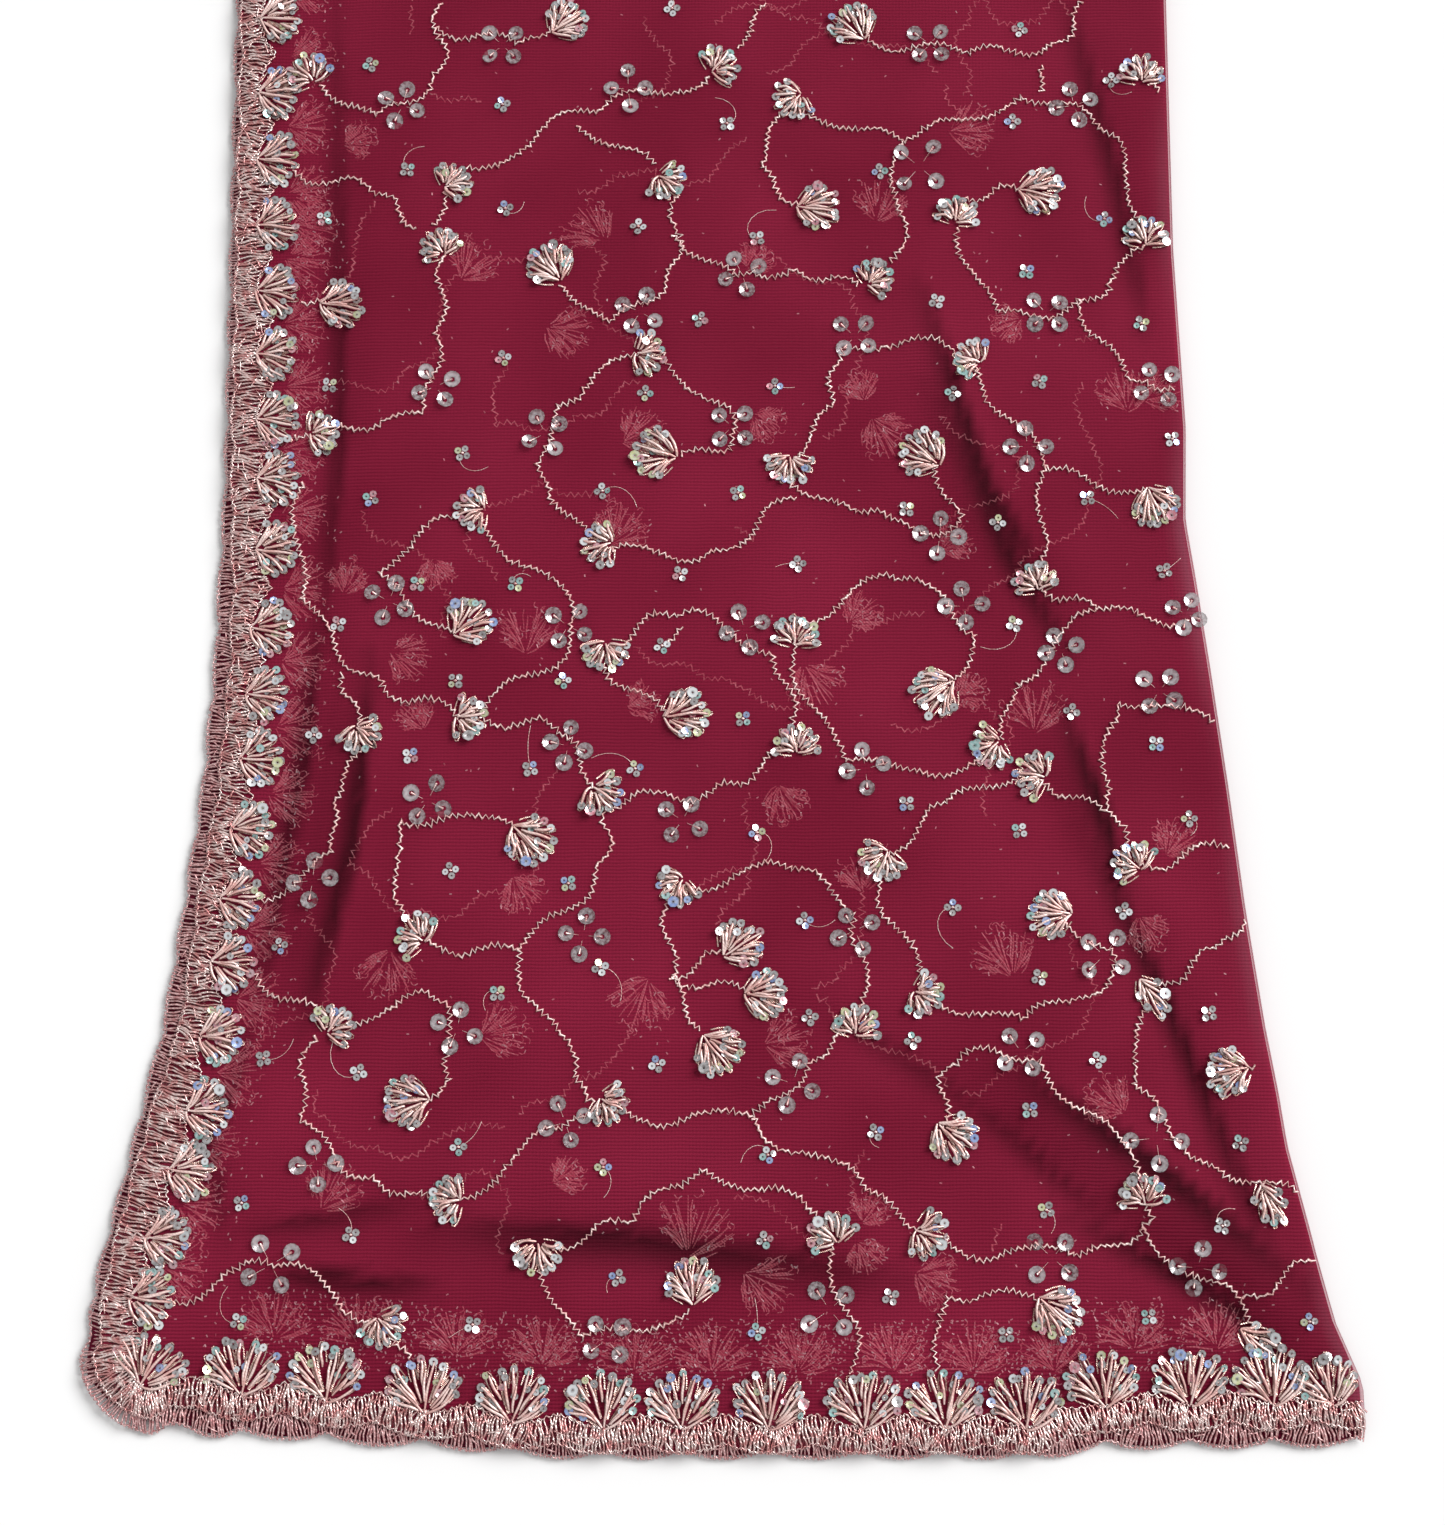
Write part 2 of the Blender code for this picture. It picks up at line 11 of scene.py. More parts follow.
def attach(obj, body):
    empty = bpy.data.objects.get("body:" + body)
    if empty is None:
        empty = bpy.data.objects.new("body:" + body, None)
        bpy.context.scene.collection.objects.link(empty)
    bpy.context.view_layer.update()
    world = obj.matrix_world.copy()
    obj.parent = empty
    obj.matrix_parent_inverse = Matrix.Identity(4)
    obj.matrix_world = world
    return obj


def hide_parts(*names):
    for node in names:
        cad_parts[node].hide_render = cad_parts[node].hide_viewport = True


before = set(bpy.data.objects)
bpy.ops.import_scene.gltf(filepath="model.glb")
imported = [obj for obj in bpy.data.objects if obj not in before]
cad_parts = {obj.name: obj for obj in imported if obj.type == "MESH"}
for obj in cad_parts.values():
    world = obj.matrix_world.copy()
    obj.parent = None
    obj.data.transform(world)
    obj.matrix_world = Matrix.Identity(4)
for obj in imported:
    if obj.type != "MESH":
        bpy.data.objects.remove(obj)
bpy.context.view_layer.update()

# Camera
# The stole is seen from its near end, ten degrees off straight down. The lens
# is the one that gives the photograph's frame of 1445 by 1525 pixels.
FRAME_ACROSS = 1445.0
FRAME_DOWN = 1525.0
FOCAL_PIXELS = 2626.0
CAMERA_TILT = math.radians(10.0)
CAMERA_REACH = 912.8
LOOK_AT = (0.7, -338.0, 8.0)
MM = 0.001


def add_object(name, data):
    made = bpy.data.objects.new(name, data)
    bpy.context.scene.collection.objects.link(made)
    return made


lens = bpy.data.cameras.new("camera")
lens.sensor_fit = "VERTICAL"
lens.sensor_width = 36.0
lens.sensor_height = 36.0
lens.lens = FOCAL_PIXELS / FRAME_DOWN * 36.0
camera = add_object("camera", lens)
camera.rotation_euler = (CAMERA_TILT, 0.0, 0.0)
back = Vector((0.0, -math.sin(CAMERA_TILT), math.cos(CAMERA_TILT)))
camera.location = (Vector(LOOK_AT) + back * CAMERA_REACH) * MM
bpy.context.scene.camera = camera

# Hidden layers
# Three layers of the same dyed net lie under the top one: the stole is folded
# once along and once across. Their open edges show a little past the top one.
NEAR_Y = -572.5
FAR_Y = 572.5
ROW_SHIFT = -1.0
WALL = 1.2
LAYER_GAP = 0.45
EDGE_HEIGHT = 4.1
INNER_HEIGHT = 6.2
EDGE_RISE_WIDTH = 75.0
ROLL = 3.2
LIP_HEIGHT = 0.5
LONG_EDGES = (
    # y, left edge of the lowest layer, how far it shows, right fold
    (-572.5, -213.5, 5.0, 217.5),
    (-549.0, -215.5, 5.5, 217.0),
    (-529.0, -211.8, 3.0, 208.5),
    (-510.0, -208.8, 2.6, 203.6),
    (-470.0, -199.2, 2.4, 194.2),
    (-452.0, -195.4, 3.4, 191.8),
    (-429.0, -190.2, 5.4, 188.0),
    (-388.0, -184.6, 4.2, 182.6),
    (-346.0, -179.6, 5.2, 178.2),
    (-303.0, -176.8, 5.0, 173.2),
    (-270.0, -176.2, 4.4, 169.0),
    (-250.0, -175.6, 2.6, 166.2),
    (-216.0, -175.6, 1.6, 167.3),
    (-149.0, -176.2, 1.6, 164.8),
    (-56.0, -177.0, 1.4, 165.0),
    (120.0, -178.2, 1.4, 166.0),
    (330.0, -175.8, 1.4, 163.0),
    (572.5, -178.6, 1.4, 165.0),
)
NEAR_END = (
    # x, edge of the top layer, how far the lowest layer shows
    (-190.0, -559.5, 5.0),
    (-142.0, -561.3, 5.0),
    (-115.0, -564.2, 4.0),
    (-89.0, -567.4, 2.0),
    (-52.0, -571.5, 1.0),
    (110.0, -571.5, 1.0),
    (127.0, -564.5, 5.0),
    (217.0, -563.5, 5.0),
)
CREASES = (
    # start_x, start_y, bend_x, bend_y, end_x, end_y, rise, half_width
    (-139, -54, -134, -218, -139, -300, -1.5, 8),
    (-139, -280, -145, -344, -158, -425, -2.0, 8),
    (-126, -300, -131, -365, -146, -430, 2.6, 8),
    (-158, -425, -172, -470, -166, -501, -1.6, 7),
    (129, -54, 144, -116, 155, -180, -1.6, 8),
    (68, -166, 90, -240, 108, -271, 2.8, 9),
    (77, -200, 103, -262, 125, -300, -2.0, 8),
    (116, -320, 128, -355, 137, -385, 2.6, 8),
    (128, -360, 155, -421, 189, -510, -2.0, 8),
    (84, -452, 105, -470, 132, -494, -1.4, 7),
    (118, -492, 174, -522, 201, -557, -4.0, 7.5),
    (40, -424, 62, -438, 100, -464, -1.2, 8),
    (96, -448, 140, -478, 194, -522, 3.2, 10),
    (-162, -496, -137, -494, -104, -489, -1.5, 7),
    (-150, -516, -130, -518, -95, -521, 2.4, 7),
    (-95, -496, -26, -500, 62, -513, -2.0, 13),
    (-20, 10, 30, 90, 60, 190, 2.6, 10),
    (-120, 40, -95, 150, -110, 260, -1.8, 9),
    (120, 120, 90, 230, 100, 330, -1.8, 9),
    (-60, 260, -20, 350, 50, 430, 3.0, 10),
    (110, 350, 60, 450, 20, 520, -1.8, 9),
    (-130, 380, -90, 450, -80, 530, 2.2, 9),
)
SIDE_SCALLOPS = 43
SIDE_SEEN_Y = (
    -520.1, -500.3, -477.7, -457.9, -432.5, -406.8, -384.9, -360.6, -336.0, -312.9,
    -289.0, -260.7, -234.5, -212.8, -188.5, -164.6, -140.0, -114.5, -88.6, -59.8,
)
SIDE_FIRST_JOIN = -531.0
SIDE_EVEN_PITCH = 26.4
SIDE_SCALLOP_DEPTH = 1.8
END_SCALLOP_X = (-159.3, -131.0, -98.0, -69.0, -38.0, -12.0, 17.0, 49.0, 76.0, 103.0, 130.0, 158.0, 186.0)
END_SCALLOP_DEPTH = 3.6
CORNER_CENTRE = (-186.0, -536.5)
CORNER_RADIUS = 24.0
CORNER_PEEK = 4.0
FAR_CORNER = 9.0
TURN_STEPS = 7
UNDER_STEP = 1.3
EDGE_CALM = 8.0
EDGE_CALM_WIDTH = 22.0
FOLD_CALM = 14.0
SHADE_CLOTH = (0.120, 0.0060, 0.0215, 1.0)
HIDDEN_CLOTH = (0.150, 0.0085, 0.0290, 1.0)


def smooth(t):
    t = np.clip(t, 0.0, 1.0)
    return t * t * (3.0 - 2.0 * t)


def read_column(table, column, at):
    rows = np.array(table)
    return np.interp(at, rows[:, 0], rows[:, column])


def left_edge(y, reach=0.0):
    """Open long edge: reach is 0 for the top layer and 1 for the lowest one."""
    return read_column(LONG_EDGES, 1, y) + (1.0 - reach) * read_column(LONG_EDGES, 2, y)


def right_fold(y):
    return read_column(LONG_EDGES, 3, y)


def near_edge(x, reach=0.0):
    return read_column(NEAR_END, 1, x) - reach * read_column(NEAR_END, 2, x)


def crease_rise(x, y):
    """Height of the listed creases at each point."""
    total = np.zeros_like(x)
    for ax, ay, bx, by, cx, cy, rise, half_width in CREASES:
        best = np.full_like(x, 1e9)
        along = np.zeros_like(x)
        for part, (sx, sy, ex, ey) in enumerate(((ax, ay, bx, by), (bx, by, cx, cy))):
            span = (ex - sx) ** 2 + (ey - sy) ** 2
            t = np.clip(((x - sx) * (ex - sx) + (y - sy) * (ey - sy)) / span, 0.0, 1.0)
            d = np.hypot(x - sx - t * (ex - sx), y - sy - t * (ey - sy))
            along = np.where(d < best, (part + t) / 2, along)
            best = np.minimum(d, best)
        ends = np.sin(math.pi * np.clip(along, 0.04, 0.96)) ** 0.6
        total += rise * ends * np.exp(-((best / half_width) ** 2))
    return total


def crowding_and_crease_shade(x, y):
    """How much the net is painted darker: painted shade in the valleys and on one flank of the ridges,
    partly the deeper colour where the net crowds together.
    """
    total = np.zeros_like(x)
    for ax, ay, bx, by, cx, cy, rise, half_width in CREASES:
        offset = 0.0 if rise < 0 else 0.7 * half_width
        for part, (sx, sy, ex, ey) in enumerate(((ax, ay, bx, by), (bx, by, cx, cy))):
            span = math.hypot(ex - sx, ey - sy)
            t = ((x - sx) * (ex - sx) + (y - sy) * (ey - sy)) / span ** 2
            d = ((x - sx) * (ey - sy) - (y - sy) * (ex - sx)) / span + offset
            d_side = d
            d = np.hypot(d, np.maximum(np.abs(t - 0.5) - 0.5, 0.0) * span)
            ends = np.sin(math.pi * np.clip((part + np.clip(t, 0.0, 1.0)) / 2, 0.03, 0.97)) ** 0.5
            wide = np.where(d_side > 0.0, 0.75, 0.26) * half_width
            total = np.maximum(total, ends * np.exp(-((d / wide) ** 2)) * min(abs(rise) / 2.2, 1.0))
    return total


def edge_distance(x, y):
    return np.maximum(0.0, np.minimum(x - left_edge(y), y - near_edge(x)))


def calm_edge(inside):
    """The creases die out towards the open edges."""
    return smooth((inside - EDGE_CALM) / EDGE_CALM_WIDTH)


def cloth_height(x, y):
    """Upper face of the top layer, before it turns down over the folds."""
    inside = edge_distance(x, y)
    height = EDGE_HEIGHT + (INNER_HEIGHT - EDGE_HEIGHT) * smooth(inside / EDGE_RISE_WIDTH)
    return height + crease_rise(x, y) * calm_edge(inside) * smooth((right_fold(y) - ROLL - x) / FOLD_CALM)


def turned_height(x, y):
    """Upper face of the top layer, folds included, for the work sewn on it."""
    past = np.maximum(x - (right_fold(y) - ROLL), y - (FAR_Y - ROLL))
    past = np.clip(past, 0.0, ROLL * 0.97)
    return cloth_height(x, y) - (ROLL - np.sqrt(ROLL ** 2 - past ** 2))


def under_height(x, y):
    """Upper face of the second layer, which doesn't follow the top one's ridges."""
    ridge = np.maximum(0.0, crease_rise(x, y))
    gap = WALL + LAYER_GAP + 0.75 * ridge * calm_edge(edge_distance(x, y))
    return cloth_height(x, y) - gap


def side_centre(k):
    n = min(k, len(SIDE_SEEN_Y) - 1)
    return SIDE_SEEN_Y[n] + (k - n) * SIDE_EVEN_PITCH


SIDE_JOINS = [SIDE_FIRST_JOIN]
SIDE_JOINS += [(side_centre(k) + side_centre(k + 1)) / 2 for k in range(SIDE_SCALLOPS - 1)]
SIDE_JOINS.append(FAR_Y)
HIDDEN_SIDE_JOINS = [SIDE_FIRST_JOIN] + [side_centre(k) for k in range(SIDE_SCALLOPS)] + [FAR_Y + 2.0]
END_JOINS = [-173.0]
END_JOINS += [(a + b) / 2 for a, b in zip(END_SCALLOP_X, END_SCALLOP_X[1:])]
END_JOINS += [200.0, 226.0]
HIDDEN_END_JOINS = [-178.0] + list(END_SCALLOP_X) + [213.0, 240.0]


def bulge(at, joins):
    """0 between two scallops and 1 at the middle of one."""
    return np.abs(np.sin(math.pi * np.interp(at, joins, np.arange(len(joins)))))


def scallop(at, joins, depth):
    """How far the edge draws in between two scallops."""
    return depth * (1.0 - bulge(at, joins) ** 0.7)


def side_scallops(y, reach):
    return scallop(y, HIDDEN_SIDE_JOINS if reach > 0.5 else SIDE_JOINS, SIDE_SCALLOP_DEPTH)


def end_scallops(x, reach):
    return scallop(x, HIDDEN_END_JOINS if reach > 0.5 else END_JOINS, END_SCALLOP_DEPTH)


def drawn_in(t):
    """How much a corner is rounded off, as a share of its reach."""
    return 1.0 - np.sqrt(1.0 - t * t / 2.0)


def plan_of_layer(columns, rows, reach, roll):
    """Plan points of one layer as arrays, with how far each lies past the fold line."""
    turn = 1 + np.arange(1, TURN_STEPS + 1) / TURN_STEPS
    s, t = np.meshgrid(*(np.concatenate((np.linspace(0, 1, n + 1), turn)) for n in (columns, rows)))
    flat_s = np.minimum(s, 1.0)
    flat_t = np.minimum(t, 1.0)
    y = NEAR_Y + (FAR_Y - roll - NEAR_Y) * flat_t
    for _ in range(3):
        left = left_edge(y, reach) + side_scallops(y, reach)
        x = left + (right_fold(y) - roll - left) * flat_s
        near = near_edge(x, reach) + end_scallops(x, reach)
        y = near + (FAR_Y - roll - near) * flat_t
    corner_x = CORNER_CENTRE[0] - left
    corner_y = CORNER_CENTRE[1] - near
    a = np.clip((CORNER_CENTRE[0] - x) / corner_x, 0.0, 1.0)
    b = np.clip((CORNER_CENTRE[1] - y) / corner_y, 0.0, 1.0)
    x = x + a * corner_x * drawn_in(b)
    y = y + b * corner_y * drawn_in(a)
    far = FAR_CORNER - roll
    bend_x = right_fold(y) - FAR_CORNER
    bend_y = FAR_Y - FAR_CORNER
    c = np.clip((x - bend_x) / far, 0.0, 1.0) if far > 0.5 else np.zeros_like(x)
    d = np.clip((y - bend_y) / far, 0.0, 1.0) if far > 0.5 else np.zeros_like(x)
    x = x - c * far * drawn_in(d)
    y = y - d * far * drawn_in(c)
    out_x = np.where(s > 1.0, np.where(t > 1.0, s - 1.0, 1.0), np.where(t > 1.0, 0.0, 1.0))
    out_y = np.where(t > 1.0, np.where(s > 1.0, t - 1.0, 1.0), 0.0)
    near_corner = (c > 0.0) & (d > 0.0) & ((s > 1.0) | (t > 1.0))
    out_x = np.where(near_corner, c * 0.99 + 0.01, out_x)
    out_y = np.where(near_corner, d * 0.99 + 0.01, out_y)
    size = np.hypot(out_x, out_y)
    past = np.clip(np.maximum(s, t) - 1.0, 0.0, 1.0)
    return x, y, out_x / size, out_y / size, past


def sheet_of_cloth(x, y, z):
    """A grid of cloth whose points take the given places, in millimetres."""
    rows, columns = x.shape
    bm = bmesh.new()
    bmesh.ops.create_grid(bm, x_segments=columns - 1, y_segments=rows - 1, size=1.0)
    bm.verts.ensure_lookup_table()
    order = sorted(bm.verts, key=lambda v: (round(v.co.y, 6), round(v.co.x, 6)))
    places = np.stack(((x + ROW_SHIFT) * MM, y * MM, z * MM), axis=-1).reshape(-1, 3)
    for vert, place in zip(order, places):
        vert.co = place
    return bm, order


def finish_piece(bm, name, material):
    """Turns a bmesh in metres into a smooth piece that lies with the stole."""
    mesh = bpy.data.meshes.new(name)
    bm.to_mesh(mesh)
    bm.free()
    return finish_mesh(mesh, name, material)


def finish_mesh(mesh, name, material):
    mesh.shade_smooth()
    mesh.materials.clear()
    mesh.materials.append(material)
    piece = add_object(name, mesh)
    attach(piece, "root")
    return piece


def node(tree, kind, values=None, **settings):
    """Adds a shader node, with its settings and the values of its sockets."""
    made = tree.nodes.new(kind)
    for key, value in settings.items():
        setattr(made, key, value)
    set_sockets(made, values or {})
    return made


def set_sockets(made, values):
    for key, value in values.items():
        made.inputs[key].default_value = value


def new_group(name, inputs, outputs):
    """An empty node group of number sockets, with its ends and object coordinates."""
    group = bpy.data.node_groups.new(name, "ShaderNodeTree")
    for way, sockets in (("INPUT", inputs), ("OUTPUT", outputs)):
        for socket in sockets:
            group.interface.new_socket(socket, in_out=way, socket_type="NodeSocketFloat")
    entry = node(group, "NodeGroupInput")
    leave = node(group, "NodeGroupOutput")
    return group, entry, leave, node(group, "ShaderNodeTexCoord").outputs["Object"]


def make_weave_group():
    """Net weave: fine ribs across the cloth with cells between them, and cloudy dyeing."""
    group, entry, leave, place = new_group("net weave", ("Rib period",), ("Rib", "Cloud", "Height"))
    link = group.links.new
    waver = {"Distortion": 2.2, "Detail": 1.0, "Detail Scale": 0.35}
    rib = node(group, "ShaderNodeTexWave", waver, wave_type="BANDS", bands_direction="Y")
    cell = node(group, "ShaderNodeTexWave", wave_type="BANDS", bands_direction="X")
    for wave in (rib, cell):
        link(place, wave.inputs["Vector"])
        link(entry.outputs["Rib period"], wave.inputs["Scale"])
    link(rib.outputs["Fac"], leave.inputs["Rib"])
    cloud = node(group, "ShaderNodeTexNoise", {"Scale": 14.0, "Detail": 2.0})
    link(place, cloud.inputs["Vector"])
    link(cloud.outputs["Fac"], leave.inputs["Cloud"])
    height = node(group, "ShaderNodeMath", {1: RIB_WEIGHT}, operation="MULTIPLY_ADD")
    link(rib.outputs["Fac"], height.inputs[0])
    link(cell.outputs["Fac"], height.inputs[2])
    link(height.outputs[0], leave.inputs["Height"])
    return group


def new_material(name, roughness, metallic=0.0):
    material = bpy.data.materials.new(name)
    material.use_nodes = True
    shader = material.node_tree.nodes["Principled BSDF"]
    set_sockets(shader, {"Roughness": roughness, "Metallic": metallic})
    return material, material.node_tree, shader


def add_bump(tree, height, shader, strength, distance):
    bump = node(tree, "ShaderNodeBump", {"Strength": strength, "Distance": distance})
    tree.links.new(height, bump.inputs["Height"])
    tree.links.new(bump.outputs["Normal"], shader.inputs["Normal"])


def mix_colours(tree, mask, low, high):
    mix = node(tree, "ShaderNodeMix", data_type="RGBA")
    tree.links.new(mask, mix.inputs["Factor"])
    for socket, value in ((mix.inputs[6], low), (mix.inputs[7], high)):
        if isinstance(value, tuple):
            socket.default_value = value
        else:
            tree.links.new(value, socket)
    return mix.outputs[2]


def spread(tree, value, low, high, to_low=0.0, to_high=1.0):
    limits = {"From Min": low, "From Max": high, "To Min": to_low, "To Max": to_high}
    ranged = node(tree, "ShaderNodeMapRange", limits)
    tree.links.new(value, ranged.inputs["Value"])
    return ranged.outputs["Result"]


def speckle(tree, scale):
    place = node(tree, "ShaderNodeTexCoord")
    noise = node(tree, "ShaderNodeTexNoise", {"Scale": scale})
    tree.links.new(place.outputs["Object"], noise.inputs["Vector"])
    return noise.outputs["Fac"]


RIB_SCALE = 260.0
RIB_WEIGHT = 6.0
# Colour of the painted sheen along the rolled fold.
FOLD_SHEEN_PALE = (0.40, 0.125, 0.18, 1.0)
WEAVE = make_weave_group()


def darker(colour, share):
    return tuple(c * share for c in colour[:3]) + (1.0,)


def make_net(name, deep, light):
    """Ribbed net, with painted shade in the creases, partly where it crowds together, and a painted sheen
    along the rolled fold.
    """
    material, tree, shader = new_material(name, 0.72)
    weave = node(tree, "ShaderNodeGroup", node_tree=WEAVE)
    set_sockets(weave, {"Rib period": RIB_SCALE})
    cloud = mix_colours(tree, spread(tree, weave.outputs["Cloud"], 0.35, 0.68), deep, light)
    rib = spread(tree, weave.outputs["Rib"], 0.1, 0.9, 0.0, 0.32)
    ribbed = mix_colours(tree, rib, cloud, darker(deep, 0.55))
    # Painted shade in the creases, partly the deeper colour where the net crowds together.
    shade_and_crowding = node(tree, "ShaderNodeAttribute", attribute_name="crowding_and_crease_shade")
    crease_shade_share = spread(tree, shade_and_crowding.outputs["Fac"], 0.0, 0.9, 0.0, 0.95)
    crease_shaded = mix_colours(tree, crease_shade_share, ribbed, darker(deep, 0.08))
    # Painted sheen along the rolled fold.
    rolled = node(tree, "ShaderNodeAttribute", attribute_name="rolled")
    sheen_share = spread(tree, rolled.outputs["Fac"], 0.0, 1.0, 0.0, 0.5)
    tree.links.new(mix_colours(tree, sheen_share, crease_shaded, FOLD_SHEEN_PALE), shader.inputs["Base Color"])
    sheen = {"Sheen Weight": 0.05, "Sheen Roughness": 0.4, "Sheen Tint": (0.9, 0.20, 0.35, 1.0)}
    set_sockets(shader, {**sheen, "Specular IOR Level": 0.06})
    add_bump(tree, weave.outputs["Height"], shader, 0.35, 0.0002)
    return material, shader


hidden_net = make_net("hidden net", SHADE_CLOTH, HIDDEN_CLOTH)[0]
x, y, out_x, out_y, past = plan_of_layer(72, 200, 1.0, ROLL)
z = under_height(x, y)
to_edge = np.minimum(x - left_edge(y, 1.0), y - near_edge(x, 1.0))
edge_top = EDGE_HEIGHT - WALL - LAYER_GAP
z = np.where(to_edge < UNDER_STEP, edge_top * 0.5, np.where(to_edge < 7.0, np.minimum(z, edge_top), z))
turned = np.minimum(past / 0.55, 1.0) * math.pi / 2
round_out = np.minimum(ROLL - 0.6, z * 0.85)
z_low = z - round_out * (1.0 - np.cos(turned))
z = np.where(past > 0.55, z_low * (1.0 - (past - 0.55) / 0.45), z_low)
x = x + out_x * round_out * np.sin(turned)
y = y + out_y * round_out * np.sin(turned)
bm, order = sheet_of_cloth(x, y, np.maximum(z, 0.0))
rim = [e for e in bm.edges if e.is_boundary]
walls = bmesh.ops.extrude_edge_only(bm, edges=rim)["geom"]
for vert in [item for item in walls if isinstance(item, bmesh.types.BMVert)]:
    vert.co.z = 0.0
rim = [e for e in bm.edges if e.is_boundary]
bmesh.ops.triangle_fill(bm, edges=rim, use_beauty=True)
bmesh.ops.recalc_face_normals(bm, faces=bm.faces)
under_layers = finish_piece(bm, "hidden_layers", hidden_net)
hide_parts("under_layers")

# Top layer of net
# One layer of fine dyed net, see-through enough to show the work of the layer
# under it. It turns down over the long fold on the right and the far fold.
TOP_DEEP = (0.276, 0.0125, 0.0440, 1.0)
TOP_LIGHT = (0.362, 0.0200, 0.0620, 1.0)
NET_COVER = 0.56

top_net, shader = make_net("dyed net", TOP_DEEP, TOP_LIGHT)
set_sockets(shader, {"Alpha": NET_COVER})

x, y, out_x, out_y, past = plan_of_layer(104, 270, 0.0, ROLL)
z = cloth_height(x, y)
drop = np.maximum(z - ROLL - LIP_HEIGHT, 0.05)
arc = ROLL * math.pi / 2
run = past * (arc + drop)
angle = np.minimum(run / ROLL, math.pi / 2)
x = x + out_x * ROLL * np.sin(angle)
y = y + out_y * ROLL * np.sin(angle)
z = z - ROLL * (1.0 - np.cos(angle)) - np.maximum(run - arc, 0.0)
# Painted shade in the creases, partly the deeper colour where the net crowds together.
shade_and_crowding = crowding_and_crease_shade(x, y) * smooth((edge_distance(x, y) - 6.0) / 20.0)
# Painted sheen along the rolled fold, stronger in places along it.
fold_sheen = np.exp(-(((right_fold(y) - x - 3.4) / 2.6) ** 2))
fold_sheen = fold_sheen * (0.35 + 0.4 * np.sin(y * 0.045 + 1.0) + 0.25 * np.sin(y * 0.017)).clip(0.0, 1.0)
bm, order = sheet_of_cloth(x, y, z)
places = [vert.index for vert in order]
bmesh.ops.recalc_face_normals(bm, faces=bm.faces)
if sum(f.normal.z for f in bm.faces) < 0:
    bmesh.ops.reverse_faces(bm, faces=bm.faces)
net_top = finish_piece(bm, "net_top", top_net)
for name, values in (("crowding_and_crease_shade", shade_and_crowding), ("rolled", fold_sheen)):
    spots = np.zeros(len(places))
    spots[places] = values.ravel()
    net_top.data.attributes.new(name, "FLOAT", "POINT").data.foreach_set("value", spots)
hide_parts("net_panel")

# Stitched bands
# The open edges are bound in metallic thread: close stitches square to the
# scalloped edge, with a chained line along each side of the band.
BAND_WIDTH = 9.0
WIDER_BAND = (
    # y, how much wider the band is there than elsewhere
    (-548.0, 0.0),
    (-535.0, 1.2),
    (-519.0, 1.6),
    (-501.0, 2.4),
    (-477.0, 4.4),
    (-457.0, 4.4),
    (-440.0, 1.0),
    (-430.0, 0.0),
    (-300.0, -1.2),
    (-270.0, 0.4),
    (-235.0, 1.6),
    (-190.0, 0.6),
    (-120.0, -0.6),
)
STITCH_PITCH = 1.08
# Colour of the painted glints along the band's thread.
ZARI_PALE = (1.0, 0.84, 0.80, 1.0)
ZARI_ROSE = (0.62, 0.27, 0.26, 1.0)
# Colour of the painted shade in the thread's grooves and on its flanks.
ZARI_SHADE = (0.17, 0.045, 0.045, 1.0)
dice = np.random.default_rng(11)


def make_thread_group():
    """Wound metal thread: the wrapping's fine ridges, and patches along it for painted glints."""
    group, entry, leave, place = new_group("wound thread", ("Winding", "Patches"), ("Ridge", "Patch"))
    link = group.links.new
    waver = {"Distortion": 3.0}
    ridge = node(group, "ShaderNodeTexWave", waver, wave_type="BANDS", bands_direction="DIAGONAL")
    patch = node(group, "ShaderNodeTexNoise", {"Detail": 2.0})
    for texture, size, result in ((ridge, "Winding", "Ridge"), (patch, "Patches", "Patch")):
        link(place, texture.inputs["Vector"])
        link(entry.outputs[size], texture.inputs["Scale"])
        link(texture.outputs["Fac"], leave.inputs[result])
    return group


THREAD = make_thread_group()


def make_zari(name, pale, rose, shade_colour, winding, patches, metallic, roughness, shade=0.55, ridges=0.6):
    """Metal thread: painted glints in pale patches, painted shade in the winding's grooves and on the flanks
    that turn away from above.
    """
    material, tree, shader = new_material(name, roughness, metallic)
    thread = node(tree, "ShaderNodeGroup", node_tree=THREAD)
    set_sockets(thread, {"Winding": winding, "Patches": patches})
    # Pale patches are painted glints over the thread's rose tone.
    body = mix_colours(tree, spread(tree, thread.outputs["Patch"], 0.38, 0.60), rose, pale)
    # Painted shade in the grooves of the winding.
    ridge = spread(tree, thread.outputs["Ridge"], 0.0, 0.55, shade, 0.0)
    wound = mix_colours(tree, ridge, body, shade_colour)
    # Painted shade on the flanks that turn away from above.
    facing = node(tree, "ShaderNodeNewGeometry")
    upward = node(tree, "ShaderNodeSeparateXYZ")
    tree.links.new(facing.outputs["Normal"], upward.inputs["Vector"])
    painted_flank_shade = spread(tree, upward.outputs["Z"], 0.1, 0.85, 0.65, 0.0)
    colour = mix_colours(tree, painted_flank_shade, wound, shade_colour)
    tree.links.new(colour, shader.inputs["Base Color"])
    add_bump(tree, thread.outputs["Ridge"], shader, ridges, 0.00015)
    return material


